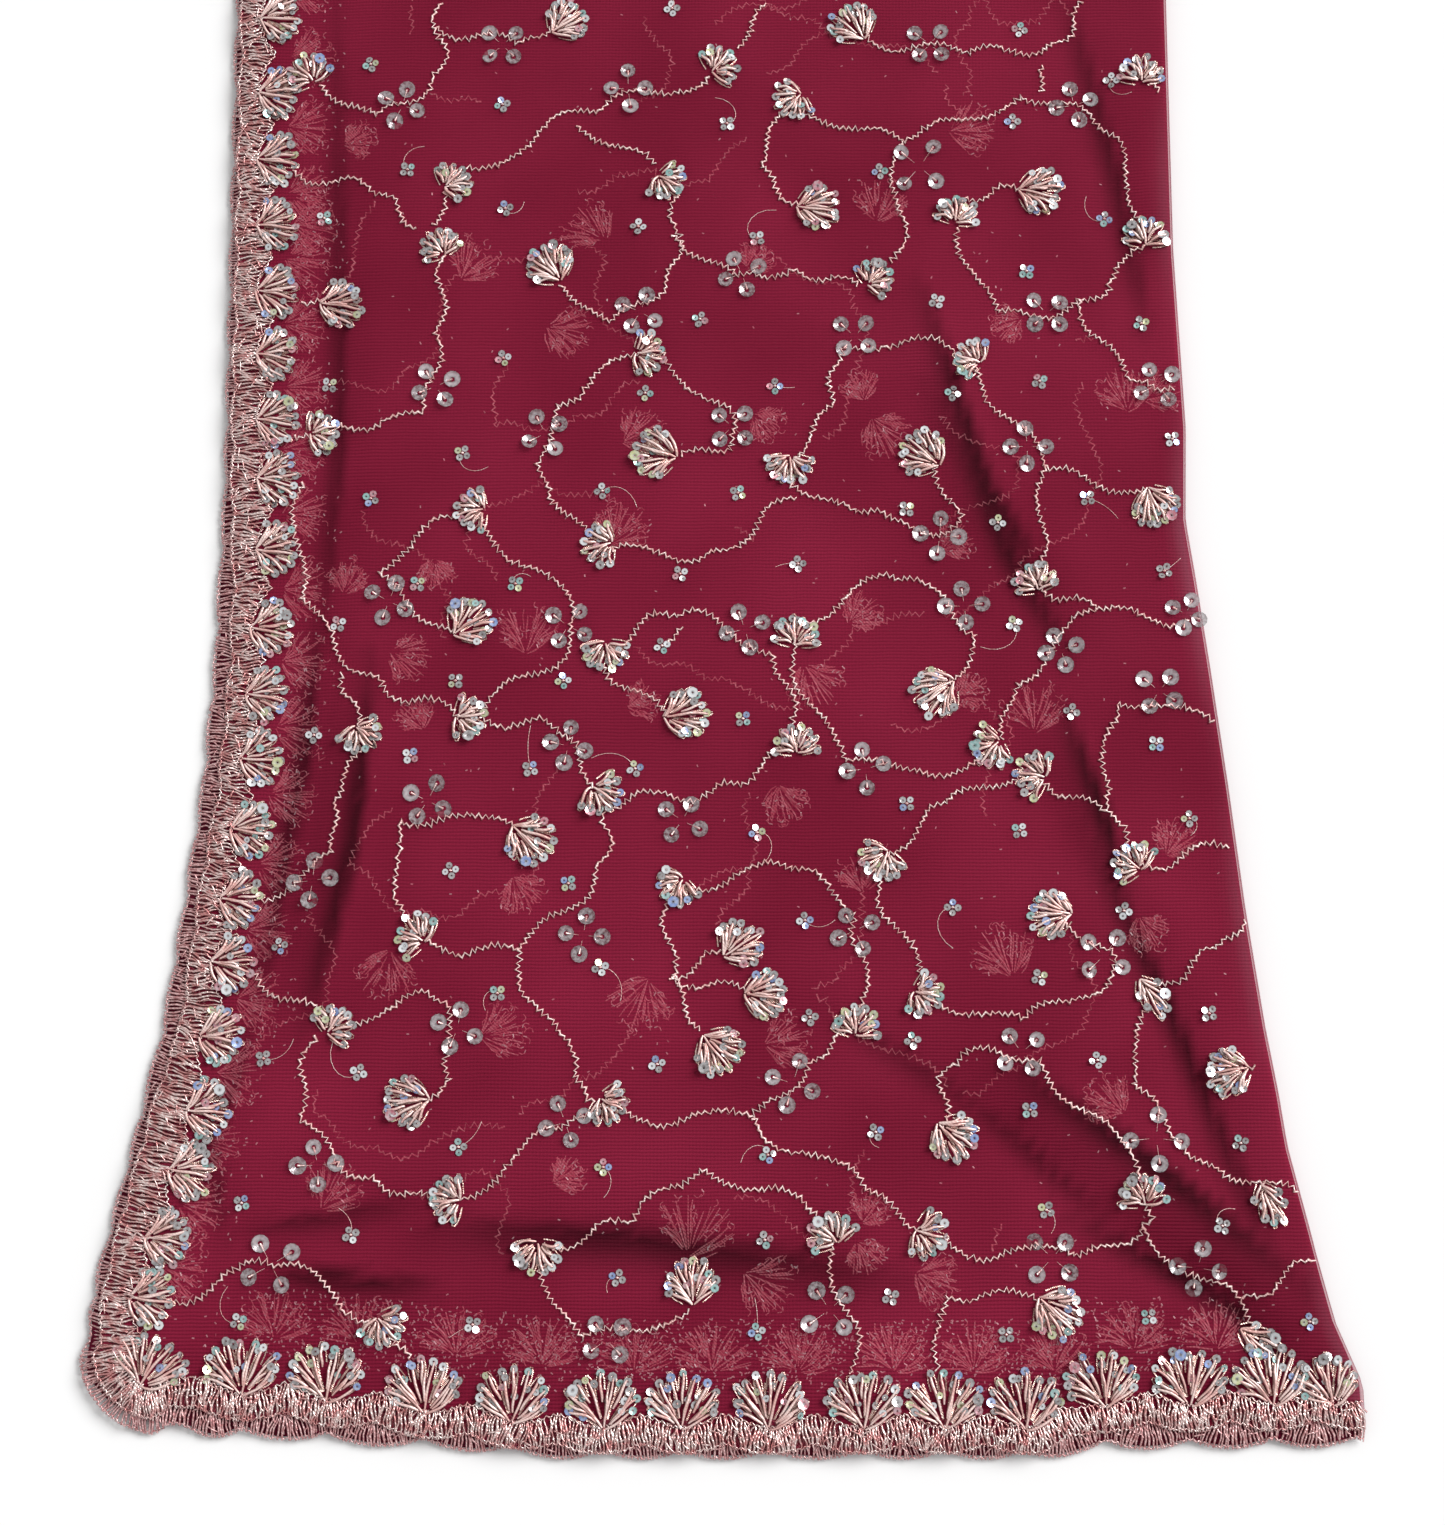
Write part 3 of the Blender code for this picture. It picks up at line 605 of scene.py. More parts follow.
# BAND_SHADE is the colour of the painted shade in the bands' grooves and on their flanks.
BAND_SHADE = (0.39, 0.145, 0.15, 1.0)
BAND_ROSE = (0.68, 0.32, 0.31, 1.0)
HIDDEN_PALE = (0.94, 0.64, 0.63, 1.0)
HIDDEN_ROSE = (0.58, 0.275, 0.28, 1.0)
band_zari = make_zari(
    "band zari", ZARI_PALE, BAND_ROSE, BAND_SHADE,
    winding=420.0, patches=340.0, metallic=0.72, roughness=0.27, shade=0.4,
)
hidden_zari = make_zari(
    "hidden zari", HIDDEN_PALE, HIDDEN_ROSE, BAND_SHADE,
    winding=420.0, patches=700.0, metallic=0.55, roughness=0.36, shade=0.35,
)


def join_threads(threads, height):
    """Every point across, along and up. A thread holds x, y, the lift off the cloth and radii."""
    x = np.concatenate([t[0] for t in threads])
    y = np.concatenate([t[1] for t in threads])
    return x, y, height(x, y) + np.concatenate([t[2] for t in threads])


def lay_threads(name, threads, height, rounds, material):
    """Makes one mesh of round threads."""
    all_x, all_y, all_z = join_threads(threads, height)
    curve = bpy.data.curves.new(name, "CURVE")
    curve.dimensions = "3D"
    curve.bevel_depth = MM
    curve.bevel_resolution = rounds
    curve.use_fill_caps = True
    start = 0
    for thread in threads:
        count = len(thread[0])
        piece = slice(start, start + count)
        places = np.ones((count, 4))
        places[:, 0] = (all_x[piece] + ROW_SHIFT) * MM
        places[:, 1] = all_y[piece] * MM
        places[:, 2] = all_z[piece] * MM
        spline = curve.splines.new("POLY")
        spline.points.add(count - 1)
        spline.points.foreach_set("co", places.ravel())
        spline.points.foreach_set("radius", thread[3])
        start += count
    holder = add_object(name + "_curve", curve)
    ready = holder.evaluated_get(bpy.context.evaluated_depsgraph_get())
    mesh = bpy.data.meshes.new_from_object(ready)
    mesh.name = name
    bpy.data.objects.remove(holder, do_unlink=True)
    return finish_mesh(mesh, name, material)


def lay_ribbons(name, threads, height, material):
    """Makes one mesh of flat threads, for the finest ones."""
    all_x, all_y, all_z = join_threads(threads, height)
    radii = np.concatenate([t[3] for t in threads])
    side_x = []
    side_y = []
    faces = []
    start = 0
    for thread in threads:
        way_x, way_y = np.gradient(thread[0]), np.gradient(thread[1])
        size = np.hypot(way_x, way_y) + 1e-9
        side_x.append(-way_y / size)
        side_y.append(way_x / size)
        count = len(thread[0])
        for k in range(start, start + count - 1):
            faces.append((2 * k, 2 * k + 2, 2 * k + 3, 2 * k + 1))
        start += count
    side_x = np.concatenate(side_x) * radii
    side_y = np.concatenate(side_y) * radii
    roll = dice.normal(0.0, 0.45, start) * radii
    points = np.zeros((2 * start, 3))
    for row, sign in ((0, -1.0), (1, 1.0)):
        points[row::2, 0] = (all_x + sign * side_x + ROW_SHIFT) * MM
        points[row::2, 1] = (all_y + sign * side_y) * MM
        points[row::2, 2] = (all_z + sign * roll) * MM
    mesh = bpy.data.meshes.new(name)
    mesh.from_pydata(points, [], faces)
    return finish_mesh(mesh, name, material)


def bound_edge(reach):
    """Points along the open edge, near right corner to far left, with the way in."""
    end_x = np.arange(right_fold(-563.0) - 1.0, CORNER_CENTRE[0], -0.4)
    end_y = near_edge(end_x, reach) + end_scallops(end_x, reach)
    turn = np.radians(np.arange(268.0, 182.0, -1.0))
    radius = CORNER_RADIUS + CORNER_PEEK * reach
    turn_x = CORNER_CENTRE[0] + radius * np.cos(turn)
    turn_y = CORNER_CENTRE[1] + radius * np.sin(turn)
    side_y = np.arange(CORNER_CENTRE[1], FAR_Y - 0.6, 0.4)
    side_x = left_edge(side_y, reach) + side_scallops(side_y, reach)
    x = np.concatenate((end_x, turn_x, side_x))
    y = np.concatenate((end_y, turn_y, side_y))
    soft = np.ones(9) / 9
    x = np.concatenate((x[:4], np.convolve(x, soft, "valid"), x[-4:]))
    y = np.concatenate((y[:4], np.convolve(y, soft, "valid"), y[-4:]))
    wide = np.ones(41) / 41
    step_x = np.convolve(np.pad(np.gradient(x), 20, "edge"), wide, "valid")
    step_y = np.convolve(np.pad(np.gradient(y), 20, "edge"), wide, "valid")
    size = np.hypot(step_x, step_y)
    along = np.concatenate(((0.0,), np.cumsum(np.hypot(np.diff(x), np.diff(y)))))
    return along, x, y, step_y / size, -step_x / size


def band_depth(x, y):
    """Width of the band, which runs further in between the fans than under them."""
    end = smooth((-540.0 - y) / 14.0)
    side_width = BAND_WIDTH - 0.6 + read_column(WIDER_BAND, 1, y) + 4.2 * (1.0 - bulge(y, SIDE_JOINS)) ** 1.4
    end_width = BAND_WIDTH - 0.4 + 1.2 * (1.0 - bulge(x, END_JOINS))
    return side_width * (1.0 - end) + end_width * end


def sew_band(reach, pitch, stations, thickness, lift):
    """Stitches and chained lines of one band."""
    along, *edge = bound_edge(reach)
    threads = []

    def edge_at(at):
        return [np.interp(at, along, values) for values in edge]

    def sew(place, into, aside, rise, thick):
        x, y, nx, ny = place
        threads.append((x + nx * into - ny * aside, y + ny * into + nx * aside, rise, thick))

    at = 0.4
    while at < along[-1] - 0.4:
        place = edge_at(at)
        depth = band_depth(*place[:2]) + dice.normal(0.0, 0.3)
        t = np.linspace(0.0, 1.0, stations)
        into = (depth + 0.3 + 0.9 * reach) * t - 0.3 - 0.9 * reach
        lean = 1.3 * math.sin(at * 0.21) + 0.8 * math.sin(at * 0.53 + 1.0) + dice.normal(0.0, 0.55)
        wave = np.sin(t * 7.5 + at * 0.8 + dice.normal(0.0, 0.9))
        slant = lean * (t - 0.5) + 0.42 * wave * (t > 0)
        rise = lift + 0.5 * np.sin(math.pi * np.clip(t, 0.0, 1.0)) + dice.normal(0.0, 0.16, stations)
        thick = thickness * dice.uniform(0.75, 1.35) * (0.8 + 0.35 * np.sin(math.pi * t))
        sew(place, into, slant, rise, thick)
        at += pitch * dice.uniform(0.85, 1.15)
    for at in np.arange(1.0, along[-1] - 1.0, pitch * 1.35):
        place = edge_at(at)
        t = np.linspace(-0.5, 0.5, 3)
        turn = dice.normal(0.0, 0.8)
        span = dice.uniform(1.8, 4.2)
        into = dice.uniform(1.6, float(band_depth(*place[:2])) - 0.8) + span * math.cos(turn) * t
        aside = span * math.sin(turn) * t + np.array((0.0, 0.3, 0.0))
        rise = np.full(3, lift + dice.uniform(0.75, 1.1))
        thick = np.array((0.55, 1.0, 0.55)) * thickness * dice.uniform(0.7, 1.1)
        sew(place, into, aside, rise, thick)
    for into, swing, thick in ((0.4 - 0.9 * reach, 0.45, 0.27), (None, 0.6, 0.33)):
        at = np.arange(0.0, along[-1], 0.72)
        place = edge_at(at)
        inward = band_depth(*place[:2]) if into is None else into
        inward = inward + swing * np.sin(at * 2.9) + 0.2 * np.sin(at * 0.83)
        rise = lift + 0.35 + 0.25 * np.sin(at * 2.9 + 1.0)
        sew(place, inward, 0.0, rise, np.full(len(at), thick))
    return threads


top_stitches = sew_band(0.0, STITCH_PITCH, 7, 0.42, 0.30)
side_band = lay_threads("stitched_band", top_stitches, turned_height, 0, band_zari)
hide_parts("scallop_border")


def lowest_height(x, y):
    to_edge = np.minimum(x - left_edge(y, 1.0), y - near_edge(x, 1.0))
    return np.where(to_edge < UNDER_STEP, edge_top * 0.5, edge_top)


lay_threads("hidden_band", sew_band(1.0, 1.15, 4, 0.36, 0.22), lowest_height, 0, hidden_zari)

# Fans of the border
# A half-round fan of thick rolled cord stands on the band at each scallop. A
# loop of fine wire goes round each cord's tip, with a sequin sewn over it.
SIDE_FAN = (9.9, 14.9)
END_FAN = (12.4, 19.2)
CORNER_FAN = (-193.5, -549.5, 70.0)
CORD_RADIUS = 0.5
WIRE_RADIUS = 0.2
SEQUIN_RADIUS = 1.62
# Painted highlight and shade of the small sequins: brightness at the middle, half way out and at the rim.
SMALL_RING = (0.42, 1.05, 0.80)
SEQUIN_COLOURS = (
    # red, green, blue and how often
    ((0.40, 0.37, 0.37), 0.42),
    ((0.30, 0.42, 0.80), 0.09),
    ((0.32, 0.60, 0.57), 0.12),
    ((0.72, 0.74, 0.40), 0.08),
    ((0.92, 0.95, 0.98), 0.17),
    ((0.70, 0.24, 0.30), 0.05),
)
cord_zari = make_zari(
    "rolled cord zari", (1.0, 0.78, 0.73, 1.0), (0.80, 0.47, 0.43, 1.0), (0.24, 0.07, 0.07, 1.0),
    winding=480.0, patches=150.0, metallic=0.35, roughness=0.33, shade=0.22, ridges=0.25,
)
wire_zari = make_zari(
    "fine wire zari", (0.90, 0.70, 0.62, 1.0), (0.55, 0.30, 0.25, 1.0), (0.22, 0.08, 0.06, 1.0),
    winding=800.0, patches=900.0, metallic=0.70, roughness=0.30,
)


class FanWork:
    """Threads and sequins gathered for one group of fans."""

    def __init__(self):
        self.cords = []
        self.wires = []
        self.sequins = []

    def place_fan(self, x, y, degrees):
        """Sets the base of the next fan and the way it opens."""
        self.base = np.array((x, y))
        self.ahead = np.array((math.cos(math.radians(degrees)), math.sin(math.radians(degrees))))
        self.across = np.array((-self.ahead[1], self.ahead[0]))

    def on_cloth(self, u, v):
        x = self.base[0] + self.ahead[0] * u + self.across[0] * v
        return x, self.base[1] + self.ahead[1] * u + self.across[1] * v

    def keep(self, kind, u, v, lift, size):
        """Adds a thread or a sequin, placed ahead of the fan's base and across."""
        kind.append((*self.on_cloth(u, v), lift, size))

    def outline(self, part, half_width, depth):
        """Point of the fan's rounded outline, where part runs from -1 to 1.

        A deep fan is nearly round, and a wide one is nearer to half a round.
        """
        wide = half_width > 0.75 * depth
        swing = math.radians(96.0 if wide else 116.0) * part
        middle = 0.22 if wide else 0.53
        ahead = depth * (middle + (1.0 - middle) * math.cos(swing))
        return np.array((ahead, half_width * math.sin(swing)))

    def lay_cord(self, tip, part, root, thick, stations, high):
        t = np.linspace(root, 1.0, stations)
        own = (t - root) / (1.0 - root)
        length = np.linalg.norm(tip)
        bow = length * (0.10 * part + dice.normal(0.0, 0.055)) * np.sin(math.pi * t)
        wobble = 0.34 * np.sin(own * 5.5 + dice.uniform(0.0, 6.28)) * own ** 0.5
        u = tip[0] * t + bow * 0.7 - tip[1] / length * wobble
        v = tip[1] * t ** 1.2 + bow * 0.2 + tip[0] / length * wobble
        lift = 0.55 + 0.8 * np.sin(math.pi * np.clip(own, 0.05, 0.86)) + high
        rounded = np.clip(np.sin(math.pi * own), 0.0, 1.0) ** 0.3
        thick = thick * (0.62 + 0.38 * rounded) * dice.uniform(0.9, 1.15)
        self.keep(self.cords, u, v, lift, thick)

    def fan(self, x, y, degrees, half_width, depth, count):
        """Cords to a rounded outline, shorter ones between them, then wire and sequins."""
        self.place_fan(x, y, degrees)
        for k in range(count):
            part = (k / (count - 1) * 2.0 - 1.0) + dice.normal(0.0, 0.02)
            tip = self.outline(part, half_width, depth) * dice.uniform(0.88, 1.0)
            joined = k % 2 and 0 < k < count - 1
            deep_root = (0.03, 0.22)[k // 2 % 2]
            root = dice.uniform(0.36, 0.58) if joined else deep_root + dice.uniform(0.0, 0.07)
            self.lay_cord(tip, part, root, CORD_RADIUS, 7, 0.22 if joined else 0.0)
            way = tip / np.linalg.norm(tip)
            side = np.array((-way[1], way[0]))
            loop = np.linspace(-1.0, 1.0, 8)
            reach = np.cos(loop * math.pi * 0.5)
            bulge = np.sin(loop * math.pi * 0.62)
            u, v = (
                tip[i] + way[i] * (-5.4 + 6.9 * reach) + side[i] * 1.35 * bulge
                for i in (0, 1)
            )
            thick = np.full(8, WIRE_RADIUS) * dice.uniform(0.8, 1.3, 8)
            self.keep(self.wires, u, v, np.full(8, 0.4), thick)
            out = tip + way * dice.uniform(-0.6, 0.6) + side * dice.normal(0.0, 0.4)
            self.add_sequin(out, 0.7 if k % 3 else 1.25, dice.uniform(0.78, 1.02))
        for k in range(count - 3):
            part = (k + 0.5) / (count - 3) * 1.7 - 0.85 + dice.normal(0.0, 0.05)
            tip = self.outline(part, half_width, depth)
            t = np.array((0.22, 0.55, 0.9)) * dice.uniform(0.85, 1.0)
            v = tip[1] * t + np.array((0.0, 0.4, 0.0))
            self.keep(self.wires, tip[0] * t, v, np.full(3, 0.2), np.full(3, 0.34))
            if k % 3 == 0:
                self.lay_cord(tip * dice.uniform(0.60, 0.78), part, 0.34, CORD_RADIUS * 0.9, 5, 0.5)
            self.add_sequin(tip * dice.uniform(0.45, 0.9), 0.45 if k % 4 else 1.65, dice.uniform(0.70, 0.95))
        if dice.random() < 0.45:
            self.add_sequin(self.outline(dice.uniform(-0.8, 0.8), half_width, depth) * 0.92, 1.9, 1.22)

    def add_sequin(self, spot, lift, size):
        self.keep(self.sequins, *spot, lift + dice.uniform(0.0, 0.3), size)

    def dim_fan(self, x, y, degrees, half_width, depth, count):
        """Fine crossing threads alone, for a fan that only shows through the net."""
        self.place_fan(x, y, degrees)
        for k in range(count):
            part = (k / (count - 1) * 2.0 - 1.0) + dice.normal(0.0, 0.05)
            tip = self.outline(part, half_width, depth) * dice.uniform(0.72, 1.0)
            self.lay_cord(tip, part, dice.uniform(0.05, 0.55), 0.25, 4, 0.0)
        for k in range(int(count * 1.6)):
            spot = self.outline(dice.uniform(-0.95, 0.95), half_width, depth) * dice.uniform(0.35, 1.0)
            turn = dice.uniform(0.0, 6.28)
            t = np.linspace(-1.3, 1.3, 4)
            bend = np.array((0.0, 0.9, 0.9, 0.0))
            u = spot[0] + math.cos(turn) * t - math.sin(turn) * bend
            v = spot[1] + math.sin(turn) * t + math.cos(turn) * bend
            x, y = self.on_cloth(u, v)
            self.cords.append((x, y, np.full(4, 0.6), np.full(4, 0.17)))
            if k % 2:
                self.wires.append((x[:2], y[:2], np.full(2, 0.75), np.full(2, 0.2)))


def sequin_shape(radius, hole, cup, sides):
    """A cupped disc with a hole, made flat and drawn down towards its middle."""
    bm = bmesh.new()
    bmesh.ops.create_circle(bm, cap_ends=True, segments=sides, radius=radius)
    for width in (radius * 0.42, radius * 0.58 - hole):
        faces = [f for f in bm.faces if len(f.verts) == sides]
        bmesh.ops.inset_region(bm, faces=faces, thickness=width, use_boundary=True)
    middle = [f for f in bm.faces if len(f.verts) == sides]
    bmesh.ops.delete(bm, geom=middle, context="FACES")
    for vert in bm.verts:
        r = math.hypot(vert.co.x, vert.co.y) / radius
        vert.co.z = -cup * (1.0 - r)
    bmesh.ops.scale(bm, vec=(MM, MM, MM), verts=bm.verts)
    mesh = bpy.data.meshes.new("sequin")
    bm.to_mesh(mesh)
    bm.free()
    return mesh


def sew_sequins(name, pattern, rows, colours, material, ring, tilt=16.0):
    """Joins a copy of the sequin at each row of x, y, lift and size, in its own colour.

    ring holds the painted light at the middle, half way out and at the rim: a painted highlight and shade of
    the cupped disc.
    """
    base = np.array([v.co for v in pattern.vertices])
    out = np.hypot(base[:, 0], base[:, 1])
    # Painted highlight and shade of each cupped sequin, by how far out each point lies.
    painted_ring_light = np.interp(out / out.max(), (0.2, 0.58, 1.0), ring)
    faces = [tuple(p.vertices) for p in pattern.polygons]
    xs, ys, lifts, sizes = np.array(rows, dtype=float).T
    zs = turned_height(xs, ys) + lifts
    points = []
    joined = []
    tones = []
    odds = np.cumsum([c[1] for c in colours])
    for k, size in enumerate(sizes):
        turn = Matrix.Rotation(dice.uniform(0.0, 6.28), 3, "Z")
        lean = Matrix.Rotation(math.radians(dice.normal(0.0, tilt)), 3, "X")
        whole = np.array(turn @ lean @ turn.inverted() @ turn) * size
        place = np.array(((xs[k] + ROW_SHIFT) * MM, ys[k] * MM, zs[k] * MM))
        points.append(base @ whole.T + place)
        joined += [tuple(n + k * len(base) for n in face) for face in faces]
        pick = colours[int(np.searchsorted(odds, dice.uniform(0.0, odds[-1])))][0]
        shade = dice.uniform(0.75, 1.15)
        for level in painted_ring_light * shade:
            tones += [pick[0] * level, pick[1] * level, pick[2] * level, 1.0]
    mesh = bpy.data.meshes.new(name)
    mesh.from_pydata(np.concatenate(points), [], joined)
    tint = mesh.color_attributes.new("tint", "FLOAT_COLOR", "POINT")
    tint.data.foreach_set("color", tones)
    return finish_mesh(mesh, name, material)


def make_sequin(name, metallic, roughness, alpha):
    material, tree, shader = new_material(name, roughness, metallic)
    tint = node(tree, "ShaderNodeAttribute", attribute_name="tint")
    # White flecks mixed into the tint are painted glints; the same noise makes the bump.
    glint_fleck = speckle(tree, 900.0)
    shade = spread(tree, glint_fleck, 0.35, 0.65, 0.0, 0.45)
    colour = mix_colours(tree, shade, tint.outputs["Color"], (0.95, 0.95, 0.98, 1.0))
    tree.links.new(colour, shader.inputs["Base Color"])
    add_bump(tree, glint_fleck, shader, 0.25, 0.0002)
    set_sockets(shader, {"Alpha": alpha})
    return material


iridescent = make_sequin("iridescent sequin", 0.75, 0.22, 1.0)
small_sequin = sequin_shape(SEQUIN_RADIUS, 0.30, 0.18, 8)
border = FanWork()
for k in range(SIDE_SCALLOPS):
    y = side_centre(k)
    x = float(left_edge(y)) + float(band_depth(-170.0, y)) - 0.6
    if y < FAR_Y - 12.0:
        border.fan(x, y, dice.normal(0.0, 4.0), SIDE_FAN[0], SIDE_FAN[1], 10)
for x in END_SCALLOP_X + (209.0,):
    y = float(near_edge(x)) + BAND_WIDTH - 1.4
    if x < 200.0:
        border.fan(x, y, 90.0 + dice.normal(0.0, 4.0), END_FAN[0], END_FAN[1], 11)
    else:
        border.fan(x - 3.0, y, 104.0, 10.5, 17.0, 10)
border.fan(CORNER_FAN[0], CORNER_FAN[1], CORNER_FAN[2], 12.5, 18.0, 11)
lay_threads("border_cords", border.cords, turned_height, 1, cord_zari)
lay_ribbons("border_wires", border.wires, turned_height, wire_zari)
sew_sequins("border_sequins", small_sequin, border.sequins, SEQUIN_COLOURS, iridescent, SMALL_RING)

# Fans of the field
# The same fans are set over the cloth at the ends of the vines, and smaller,
# shallower ones between them. The pattern is mirrored twice to the far fold.
MIRROR_Y = (-54.0, 428.0)
BIG_FANS = (
    # across and down the photograph in pixels, and the way it opens in degrees
    (340, 300, 0), (550, 262, 120), (818, 205, 0), (1040, 188, 0), (655, 455, 175), (922, 453, 144),
    (1158, 505, -65), (470, 620, 40), (685, 710, 18), (937, 692, 216), (530, 838, -36), (740, 942, 40),
    (767, 993, 0), (720, 1050, -42), (407, 1102, 187), (1050, 912, 176), (955, 1138, -42),
    (1228, 1073, 195), (693, 1282, 90), (1058, 1312, -38), (568, 18, 40), (852, 22, 125),
)
SMALL_FANS = (
    # across and down the photograph in pixels, and the way it opens in degrees
    (722, 62, 40), (790, 100, 215), (1141, 68, 95), (455, 177, 40), (670, 182, -35), (437, 242, 120),
    (958, 208, 80), (878, 275, 40), (650, 352, 0), (968, 355, 150), (323, 430, 5), (470, 508, 180),
    (790, 468, -90), (598, 543, 185), (1035, 575, 105), (795, 630, 88), (605, 655, -90), (362, 738, -60),
    (470, 717, -5), (797, 738, 90), (990, 750, 225), (1032, 772, 160), (603, 795, -40), (880, 862, 235),
    (1130, 860, 140), (675, 890, 235), (413, 932, 140), (928, 997, -25), (858, 1020, 80), (337, 1022, 45),
    (610, 1108, -45), (1142, 1190, 100), (445, 1200, 180), (830, 1230, 120), (930, 1237, -25),
    (537, 1257, -90), (385, 1330, -55), (305, 68, 125), (1146, 230, 90),
)
NARROW_FANS = (
    # across and down the photograph in pixels, and the way it opens in degrees
    (1272, 1203, -62), (1262, 1338, -25), (1153, 995, -55),
)
BIG_FAN = (8.4, 15.6)
SMALL_FAN = (7.8, 10.2)
NARROW_FAN = (4.6, 15.0)


def on_stole(across, down):
    """Place on the stole, in millimetres, of a point of the photograph."""
    q = (down - FRAME_DOWN / 2) / FOCAL_PIXELS
    r = (across - FRAME_ACROSS / 2) / FOCAL_PIXELS
    slope = math.cos(CAMERA_TILT) + q * math.sin(CAMERA_TILT)
    reach = CAMERA_REACH * math.cos(CAMERA_TILT) / slope
    return r * reach + LOOK_AT[0] - ROW_SHIFT, -CAMERA_REACH * q / slope + LOOK_AT[1]


def step_back(x, y, degrees, behind):
    """Base of a fan whose middle is at x, y."""
    turn = math.radians(degrees)
    return x - behind * math.cos(turn), y - behind * math.sin(turn)


def repeats(across, down, degrees=0.0):
    """A point's place on the stole, then its mirror images up to the far fold, where they fit."""
    x, y = on_stole(across, down)
    found = [(x, y, degrees)]
    mirrored = 2 * MIRROR_Y[0] - y
    again = 2 * MIRROR_Y[1] - mirrored
    images = (
        (mirrored, -degrees, y < MIRROR_Y[0] - 12.0),
        (again, degrees, again < FAR_Y - 16.0),
    )
    for there, turned, clear in images:
        if clear and left_edge(there) + 29.0 < x < right_fold(there) - 12.0:
            found.append((x, there, turned))
    return found


field = FanWork()
for chart, (half_width, depth), count, behind in (
    (BIG_FANS, BIG_FAN, 10, 7.8),
    (SMALL_FANS, SMALL_FAN, 8, 5.0),
    (NARROW_FANS, NARROW_FAN, 6, 7.0),
):
    for row in chart:
        for x, y, turned in repeats(*row):
            base = step_back(x, y, turned, behind)
            size = dice.uniform(0.93, 1.05)
            turned += dice.normal(0.0, 3.0)
            field.fan(*base, turned, half_width * size, depth * size, count)
lay_threads("field_cords", field.cords, turned_height, 1, cord_zari)
lay_ribbons("field_wires", field.wires, turned_height, wire_zari)
sew_sequins("field_sequins", small_sequin, field.sequins, SEQUIN_COLOURS, iridescent, SMALL_RING)

# Vines
# A couched metal thread wanders from fan to fan in small zigzags, and is held
# to the net at each turn. It sways by itself between the few places it goes by.
VINE_PITCH = 1.15
VINE_SWING = 0.85
VINE_RADIUS = 0.4
VINES = (
    # across and down the photograph in pixels, by turns: where it starts, turns and ends
    (319, 81, 376, 113, 434, 73, 440, 0), (434, 25, 516, 40, 553, 27), (466, 165, 598, 110, 710, 73),
    (737, 46, 768, 0), (579, 123, 654, 165), (291, 167, 372, 190, 418, 227), (455, 177, 432, 225),
    (447, 252, 435, 331, 422, 410, 338, 421), (311, 435, 291, 435), (301, 298, 325, 299),
    (640, 352, 557, 404, 549, 484, 590, 538), (562, 283, 610, 321, 668, 269, 679, 192),
    (673, 233, 733, 275, 795, 269, 860, 287), (798, 102, 905, 140, 1021, 94, 1101, 127, 1150, 222),
    (785, 108, 760, 165, 800, 204), (905, 140, 891, 262), (1020, 188, 963, 196),
    (959, 227, 998, 312, 1080, 298, 1151, 242), (1080, 298, 1128, 377, 1175, 385),
    (864, 35, 967, 52, 1055, 40, 1086, 0), (1043, 63, 1042, 92), (1152, 81, 1159, 92),
    (960, 352, 845, 342, 833, 402, 789, 458), (664, 350, 733, 435, 680, 456),
    (976, 358, 1048, 467, 1150, 488), (1048, 467, 1035, 568), (935, 463, 952, 526, 858, 513, 790, 480),
    (797, 497, 710, 549, 610, 551), (303, 481, 299, 595, 376, 676, 460, 718), (343, 672, 357, 728),
    (460, 514, 378, 572, 455, 630), (480, 510, 568, 626, 480, 716), (480, 716, 557, 732, 595, 785),
    (362, 748, 332, 801, 332, 853, 259, 897), (515, 828, 399, 820, 410, 922),
    (425, 940, 518, 949, 597, 865, 610, 805), (518, 949, 572, 1075, 598, 1100),
    (606, 645, 675, 615, 772, 653, 793, 725), (683, 626, 666, 642), (603, 665, 668, 717),
    (797, 620, 898, 580, 977, 634, 947, 683), (794, 642, 845, 761, 980, 760),
    (796, 748, 722, 782, 614, 808), (683, 884, 791, 870, 856, 915, 860, 1010),
    (668, 898, 672, 976, 702, 1032), (672, 976, 722, 952), (672, 976, 752, 994),
    (888, 855, 948, 803, 1022, 772), (880, 872, 920, 992), (1040, 583, 1098, 609, 1190, 618),
    (1098, 609, 1017, 682, 1002, 742), (1213, 722, 1117, 701, 1111, 788, 1126, 850), (1140, 864, 1232, 845),
    (1040, 778, 1105, 815), (1062, 914, 1111, 970, 1025, 1018, 940, 1002),
    (1160, 985, 1217, 949, 1248, 918), (1150, 1008, 1134, 1087, 1217, 1164, 1300, 1195),
    (252, 972, 328, 1026), (315, 1037, 299, 1118, 372, 1179, 436, 1202),
    (346, 1020, 434, 1000, 449, 1079, 425, 1100), (453, 1197, 561, 1129, 600, 1106),
    (165, 1300, 276, 1268, 380, 1322), (392, 1338, 407, 1360), (540, 1247, 629, 1222, 702, 1168, 822, 1222),
    (541, 1264, 583, 1339, 690, 1308), (620, 1110, 752, 1118, 810, 1062, 850, 1030),
    (752, 1118, 864, 1189, 922, 1230), (836, 1238, 852, 1375),
    (940, 1240, 1078, 1258, 1146, 1225, 1143, 1200), (1146, 1225, 1258, 1330), (1266, 1346, 1275, 1375),
    (942, 1126, 955, 1064, 1040, 1060, 1138, 1182), (1045, 1304, 948, 1295, 940, 1371),
    (1245, 1297, 1318, 1262), (1240, 1068, 1258, 1066),
)
VINE_SWAY = 0.085
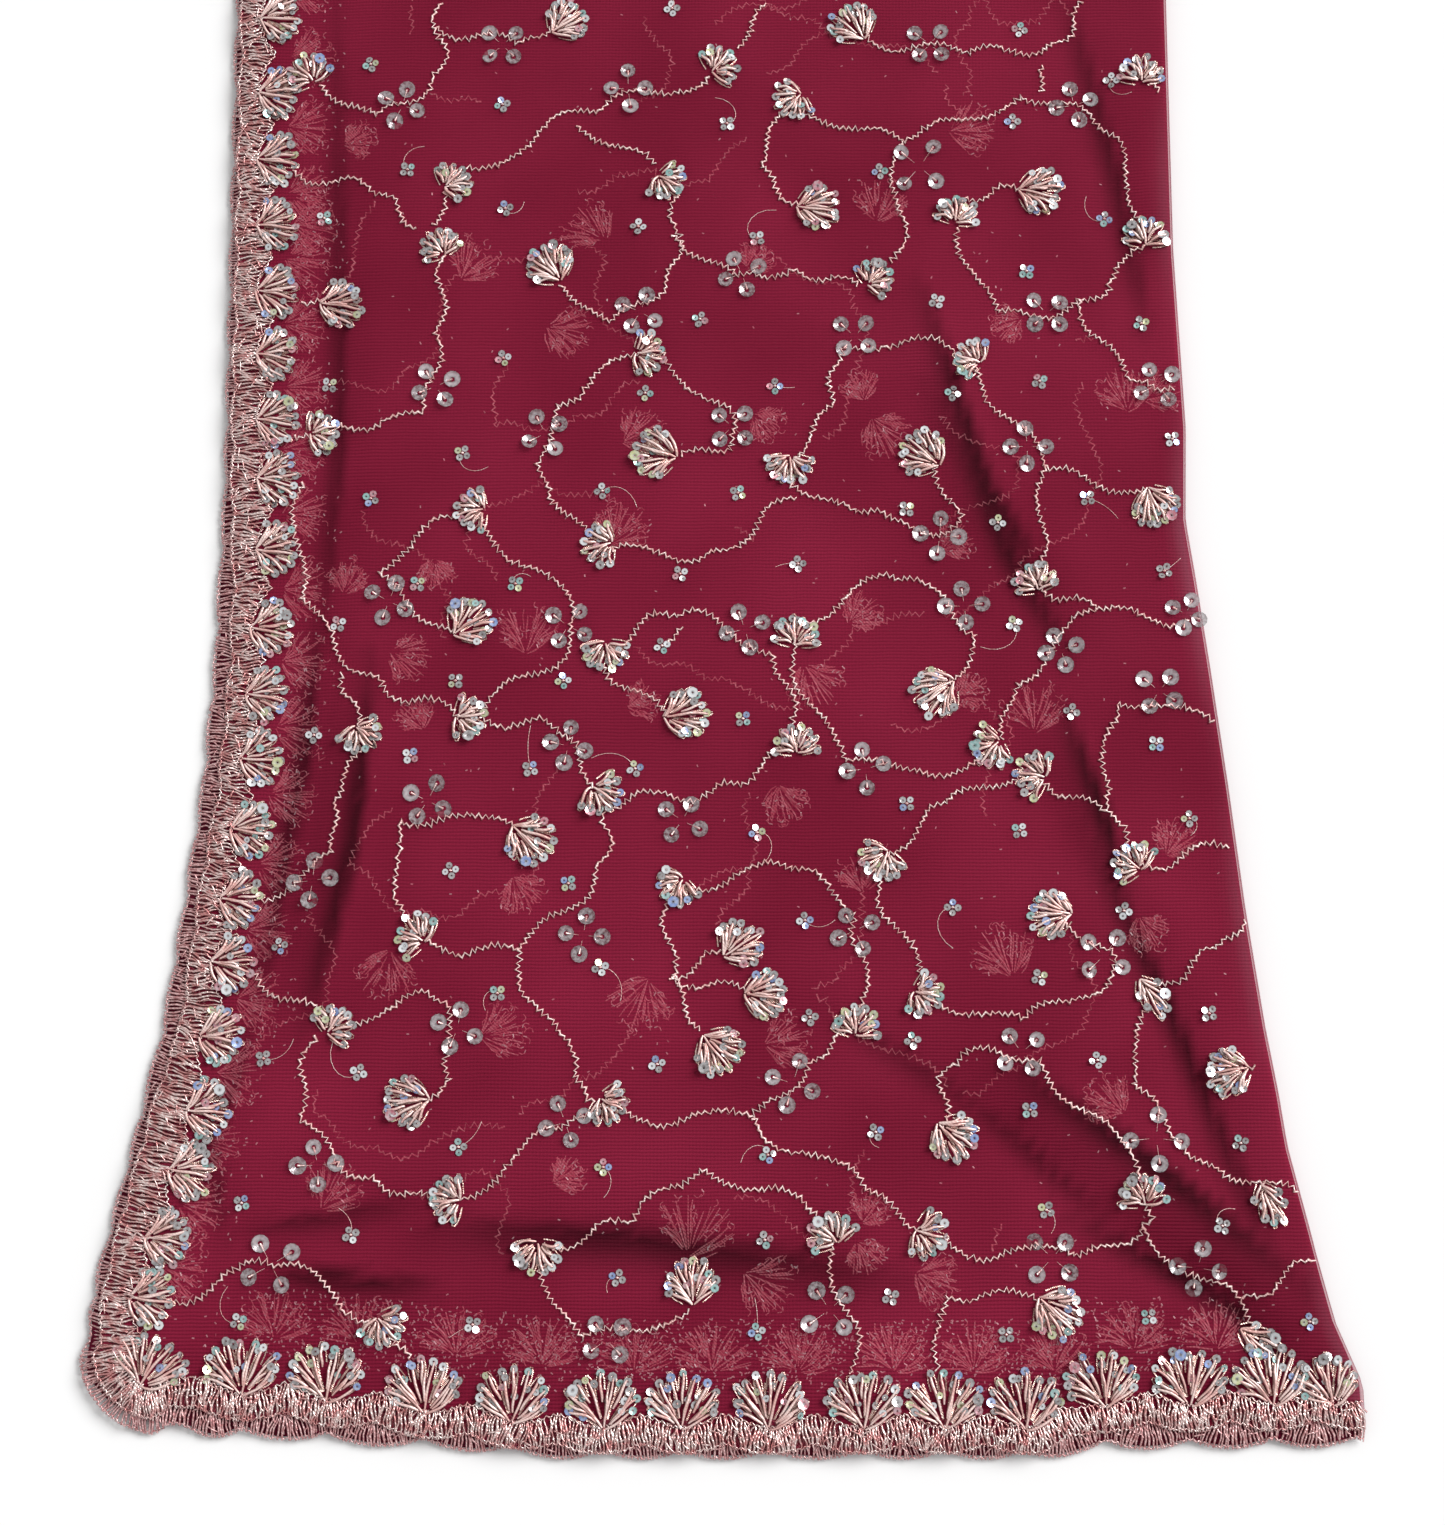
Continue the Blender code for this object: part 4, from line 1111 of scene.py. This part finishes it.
vine_zari = make_zari(
    "vine zari", (1.0, 0.82, 0.78, 1.0), (0.80, 0.45, 0.43, 1.0), ZARI_ROSE,
    winding=500.0, patches=300.0, metallic=0.3, roughness=0.36, shade=0.25,
)


def follow(points, step):
    """Evenly spaced places along a smooth line through the points."""
    points = np.array(points, dtype=float)
    padded = np.vstack((2 * points[0] - points[1], points, 2 * points[-1] - points[-2]))
    line = []
    for k in range(1, len(padded) - 2):
        a, b, c, d = padded[k - 1:k + 3]
        t = np.linspace(0.0, 1.0, 16, endpoint=False)[:, None]
        smooth_part = (2 * a - 5 * b + 4 * c - d) * t ** 2 + (3 * b - a - 3 * c + d) * t ** 3
        aside = np.array((b[1] - c[1], c[0] - b[0])) * VINE_SWAY * (-1) ** k
        line.append(0.5 * (2 * b + (c - a) * t + smooth_part) + aside * np.sin(2 * math.pi * t))
    line = np.vstack(line + [points[-1:]])
    along = np.concatenate(((0.0,), np.cumsum(np.hypot(*np.diff(line, axis=0).T))))
    at = np.arange(0.0, along[-1], step)
    return np.interp(at, along, line[:, 0]), np.interp(at, along, line[:, 1])


def couch(points, inside, pitch=VINE_PITCH, swing=VINE_SWING, radius=VINE_RADIUS, lift=0.25):
    """A zigzag thread along the points, cut where it leaves the cloth."""
    x, y = follow(points, pitch)
    if len(x) < 3:
        return []
    way_x, way_y = np.gradient(x), np.gradient(y)
    size = np.hypot(way_x, way_y)
    side = swing * np.where(np.arange(len(x)) % 2, 1.0, -1.0) * dice.uniform(0.35, 1.35, len(x))
    side += 0.5 * np.sin(np.arange(len(x)) * 0.31 + dice.uniform(0.0, 6.28))
    zig_x = x - way_y / size * side + dice.normal(0.0, 0.2, len(x))
    zig_y = y + way_x / size * side + dice.normal(0.0, 0.2, len(x))
    held = inside(zig_x, zig_y)
    threads = []
    start = None
    for k in range(len(x) + 1):
        if k < len(x) and held[k]:
            start = k if start is None else start
            continue
        if start is not None and k - start > 3:
            run = slice(start, k)
            rise = np.full(k - start, lift) + dice.uniform(0.0, 0.15, k - start)
            thick = radius * dice.uniform(0.55, 1.5, k - start)
            threads.append((zig_x[run], zig_y[run], rise, thick))
        start = None
    return threads


def on_the_net(x, y, margin=9.0):
    across = (x > left_edge(y) + margin) & (x < right_fold(y) - 0.6)
    return across & (y > near_edge(x) + 9.0) & (y < FAR_Y - 1.5)


def in_the_field(x, y):
    return on_the_net(x, y, 24.0)


def course_of(row):
    return [on_stole(across, down) for across, down in zip(row[::2], row[1::2])]


def mirror_line(line):
    return [(px, 2 * MIRROR_Y[0] - py) for px, py in line]


vines = []
for row in VINES:
    line = course_of(row)
    vines += couch(line, on_the_net)
    vines += couch(mirror_line(line), in_the_field)
    vines += couch([(px, py + 2 * (MIRROR_Y[1] - MIRROR_Y[0])) for px, py in line], in_the_field)
lay_threads("vines", vines, turned_height, 0, vine_zari)

# Sequins in fours
# Cupped grey sequins are sewn in fours, each held by a knot of metal thread,
# and tiny bright ones stand round a bead as four-petalled flowers.
CUP_RADIUS = 2.95
# Painted highlight and shade of the cup sequins, brightest half way out.
CUP_RING = (0.30, 2.1, 0.75)
CUP_COLOURS = (((0.16, 0.125, 0.13), 0.6), ((0.28, 0.25, 0.26), 0.25), ((0.12, 0.075, 0.08), 0.15))
CUP_FOURS = (
    # across and down the photograph in pixels, turn in degrees, half spread in pixels
    (502, 43, 0, 13), (402, 103, 22, 13), (628, 87, -42, 13), (930, 42, 5, 13), (1075, 103, -35, 13),
    (920, 165, 5, 17), (742, 272, -20, 13), (640, 310, 20, 13), (1047, 312, 0, 13), (855, 335, 5, 13),
    (435, 385, -18, 13), (545, 432, -15, 13), (732, 425, 0, 13), (1158, 383, -15, 13), (1028, 445, 45, 13),
    (940, 535, 40, 13), (388, 600, 22, 13), (568, 625, 10, 13), (745, 628, -30, 13), (965, 605, 45, 13),
    (1062, 648, -25, 11), (1187, 613, 24, 10.5), (568, 745, 32, 13), (866, 768, -35, 13),
    (427, 800, 20, 13), (682, 820, 12, 13), (1160, 690, 10, 13), (312, 880, 45, 13), (583, 935, 40, 13),
    (855, 930, -18, 13), (1105, 955, 3, 15), (457, 1028, 25, 13), (1022, 1052, -9, 13),
    (565, 1122, -27, 13), (793, 1083, 30, 15), (1157, 1138, 45, 17), (317, 1165, -40, 13),
    (270, 1265, -15, 16), (1053, 1258, 2, 15), (1200, 1268, 36, 14), (606, 1340, -9, 13),
    (830, 1310, -10, 16),
)
FLOWERS = (
    # across and down the photograph in pixels
    (370, 62), (502, 103), (407, 168), (505, 207), (323, 215), (727, 122), (1013, 120), (880, 170),
    (638, 225), (757, 237), (1027, 270), (937, 300), (700, 318), (1142, 322), (503, 357), (328, 382),
    (645, 392), (775, 385), (953, 393), (1040, 380), (462, 452), (738, 492), (602, 490), (370, 497),
    (1088, 497), (907, 508), (998, 522), (680, 573), (798, 563), (417, 583), (515, 583), (337, 622),
    (1015, 623), (1165, 570), (1173, 438), (662, 645), (312, 733), (455, 680), (563, 680), (743, 718),
    (410, 755), (635, 768), (1072, 711), (1157, 743), (530, 768), (450, 870), (907, 803), (757, 832),
    (1020, 830), (1190, 818), (278, 945), (262, 1058), (358, 1072), (240, 1203), (350, 1235), (237, 1322),
    (472, 1325), (497, 993), (600, 967), (458, 1147), (603, 1167), (617, 1278), (657, 1064), (810, 1017),
    (768, 1155), (876, 1132), (765, 1240), (757, 1332), (891, 1297), (953, 907), (1098, 1060), (1125, 910),
    (1210, 1013), (1030, 1110), (1047, 1210), (1222, 1226), (1242, 1143), (1007, 1335), (1311, 1322),
    (1150, 1317), (1040, 977), (672, 7), (1020, 28), (1112, 78), (1105, 217), (805, 920), (568, 883),
    (913, 1040),
)
PIXEL_MM = 0.348
PETAL_REACH = 1.85
clear_sequin = make_sequin("clear cup sequin", 0.45, 0.16, 0.72)
cup_sequin = sequin_shape(CUP_RADIUS, 0.85, 0.9, 12)
cups = []
knots = []
petals = []
for across, down, turn, spread_pixels in CUP_FOURS:
    for px, py, turned in repeats(across, down, turn):
        for quarter in range(4):
            swing = math.radians(turned + 45.0 + 90.0 * quarter) + dice.normal(0.0, 0.07)
            reach = spread_pixels * PIXEL_MM * 1.414 * dice.uniform(0.93, 1.08)
            cx = px + math.cos(swing) * reach
            cy = py + math.sin(swing) * reach
            if cx > right_fold(cy) - 1.0:
                continue
            cups.append((cx, cy, 0.9, dice.uniform(0.92, 1.05)))
            t = np.linspace(0.0, 1.0, 5)
            tail = cx + (px - cx) * t * 0.72, cy + (py - cy) * t * 0.72
            knots.append((*tail, 0.95 - 0.75 * t, np.array((0.42, 0.30, 0.08, 0.06, 0.06))))
for across, down in FLOWERS:
    for px, py, _ in repeats(across, down):
        start = dice.uniform(0.0, 90.0)
        for quarter in range(4):
            swing = math.radians(start + 90.0 * quarter)
            petal = px + math.cos(swing) * PETAL_REACH, py + math.sin(swing) * PETAL_REACH
            petals.append((*petal, 0.55, dice.uniform(0.70, 0.82)))
        if dice.random() < 0.4:
            t = np.linspace(0.0, 1.0, 9)
            turn = dice.uniform(0.0, 6.28)
            swing = turn + dice.uniform(-2.2, 2.2) * t
            reach = dice.uniform(5.0, 16.0) * t
            loose = px + np.cos(swing) * reach, py + np.sin(swing) * reach
            if in_the_field(loose[0], loose[1]).all():
                knots.append((*loose, np.full(9, 0.15), np.full(9, 0.10)))
        bead = np.array((px - 0.4, px, px + 0.4)), np.array((py, py + 0.1, py))
        knots.append((*bead, np.array((0.5, 0.9, 0.5)), np.array((0.3, 0.5, 0.3))))
sew_sequins("cup_sequins", cup_sequin, cups, CUP_COLOURS, clear_sequin, CUP_RING, 9.0)
sew_sequins("flower_sequins", small_sequin, petals, SEQUIN_COLOURS, iridescent, SMALL_RING, 12.0)
lay_threads("sequin_knots", knots, turned_height, 0, vine_zari)

# Work of the second layer
# The layer below carries the same work, and its fans and vines show through
# the net as dim red shapes.
HIDDEN_FANS = (
    # across and down the photograph in pixels, opening in degrees, size
    (470, 260, 60, 1.0), (565, 330, -20, 1.0), (590, 225, 140, 1.0), (880, 200, 80, 1.0),
    (640, 430, 30, 1.0), (885, 430, -50, 1.0), (1125, 390, 100, 1.0), (970, 125, 10, 1.0),
    (525, 630, 90, 1.1), (620, 525, 60, 1.0), (815, 680, -60, 1.0), (1035, 710, 90, 1.1),
    (1005, 955, 110, 1.1), (640, 1000, 250, 1.1), (785, 1040, 10, 1.0), (500, 1030, 15, 1.0),
    (330, 1190, 60, 1.0), (695, 1230, 75, 1.3), (765, 1285, -30, 1.1), (385, 970, -100, 1.0),
    (355, 135, 20, 0.7), (755, 255, 50, 0.7), (860, 385, 110, 0.7), (765, 420, -40, 0.7),
    (1010, 320, 200, 0.7), (345, 575, 80, 0.8), (435, 570, -80, 0.7), (405, 655, -20, 0.9),
    (415, 715, 120, 0.7), (520, 890, -60, 0.8), (640, 700, 20, 0.7), (785, 800, -70, 0.8),
    (860, 610, 45, 0.8), (860, 875, 100, 0.8), (970, 690, 20, 0.7), (1175, 840, 60, 0.8),
    (1150, 930, -60, 0.8), (955, 540, 30, 0.7), (565, 1175, 30, 0.7), (870, 1210, 60, 0.7),
    (865, 1255, -60, 0.7), (1110, 1100, 140, 0.9), (935, 1280, -20, 0.9), (310, 220, 0, 1.0),
    (1160, 390, 30, 0.8),
)
SIDE_FAN_SHIFT = 9.0
END_FAN_SHIFT = 17.5
GLINTS = 3000
ghost = FanWork()
for across, down, degrees, size in HIDDEN_FANS:
    for x, y, turned in repeats(across, down, degrees):
        ghost.dim_fan(*step_back(x, y, turned, 7.5 * size), turned, 10.5 * size, 17.5 * size, 24)
for y in SIDE_JOINS[1:-1]:
    x = float(left_edge(y)) + BAND_WIDTH + SIDE_FAN_SHIFT
    ghost.dim_fan(x, y, 0.0, 11.5, 16.5, 26)
for x in END_SCALLOP_X:
    y = float(near_edge(x)) + BAND_WIDTH + END_FAN_SHIFT
    if x < 170.0:
        ghost.dim_fan(x + 10.0, y, 90.0, 13.5, 17.0, 30)
for row in VINES[::2]:
    line = [(-px * 0.92 - 4.0, py + 37.0) for px, py in course_of(row)]
    for course in (line, mirror_line(line)):
        ghost.cords += couch(course, in_the_field, 1.3, 0.9, 0.27, 0.5)
for thread in ghost.cords:
    thread[2][:] = np.minimum(thread[2], 0.6) * 0.7
dim_zari = make_zari(
    "second layer zari", (1.0, 0.36, 0.42, 1.0), (0.85, 0.18, 0.24, 1.0), ZARI_SHADE,
    winding=500.0, patches=500.0, metallic=0.15, roughness=0.5,
)
lay_ribbons("second_layer_work", ghost.cords, under_height, dim_zari)
for _ in range(GLINTS):
    y = dice.uniform(NEAR_Y + 14.0, FAR_Y - 8.0)
    x = dice.uniform(float(left_edge(y)) + 20.0, float(right_fold(y)) - 8.0)
    if dice.random() < 0.5:
        y = float(near_edge(x)) + dice.uniform(20.0, 44.0)
    elif dice.random() < 0.4:
        x = float(left_edge(y)) + dice.uniform(22.0, 40.0)
    turn = dice.uniform(0.0, 3.14)
    t = np.array((-0.45, 0.45))
    glint = x + math.cos(turn) * t, y + math.sin(turn) * t
    ghost.wires.append((*glint, np.full(2, 0.5), np.full(2, 0.21)))
glint_zari = make_zari(
    "glint zari", (1.0, 0.80, 0.82, 1.0), (1.0, 0.45, 0.52, 1.0), ZARI_ROSE,
    winding=500.0, patches=700.0, metallic=0.1, roughness=0.3, shade=0.0, ridges=0.2,
)
lay_ribbons("second_layer_glints", ghost.wires, under_height, glint_zari)

# Floor and light
# A plain pale floor under plain soft light.
floor_material, tree, shader = new_material("pale floor", 0.9)
mottled = mix_colours(tree, speckle(tree, 3.0), (0.85, 0.85, 0.85, 1.0), (0.88, 0.88, 0.88, 1.0))
tree.links.new(mottled, shader.inputs["Base Color"])
bm = bmesh.new()
bmesh.ops.create_grid(bm, x_segments=1, y_segments=1, size=8.0)
bmesh.ops.translate(bm, verts=bm.verts, vec=(0.0, 0.0, -0.0002))
floor_mesh = bpy.data.meshes.new("floor")
bm.to_mesh(floor_mesh)
bm.free()
floor_mesh.materials.append(floor_material)
floor = add_object("floor", floor_mesh)

world = bpy.data.worlds.new("studio")
bpy.context.scene.world = world
world.use_nodes = True
set_sockets(world.node_tree.nodes["Background"], {"Color": (1.0, 1.0, 1.0, 1.0), "Strength": 0.55})
key = bpy.data.lights.new("key", "SUN")
key.energy = 3.15
key.angle = math.radians(34.0)
lamp = add_object("key", key)
lamp.rotation_euler = Vector((-0.66, -0.42, -0.62)).to_track_quat("-Z", "Y").to_euler()
bpy.context.scene.view_settings.view_transform = "Standard"
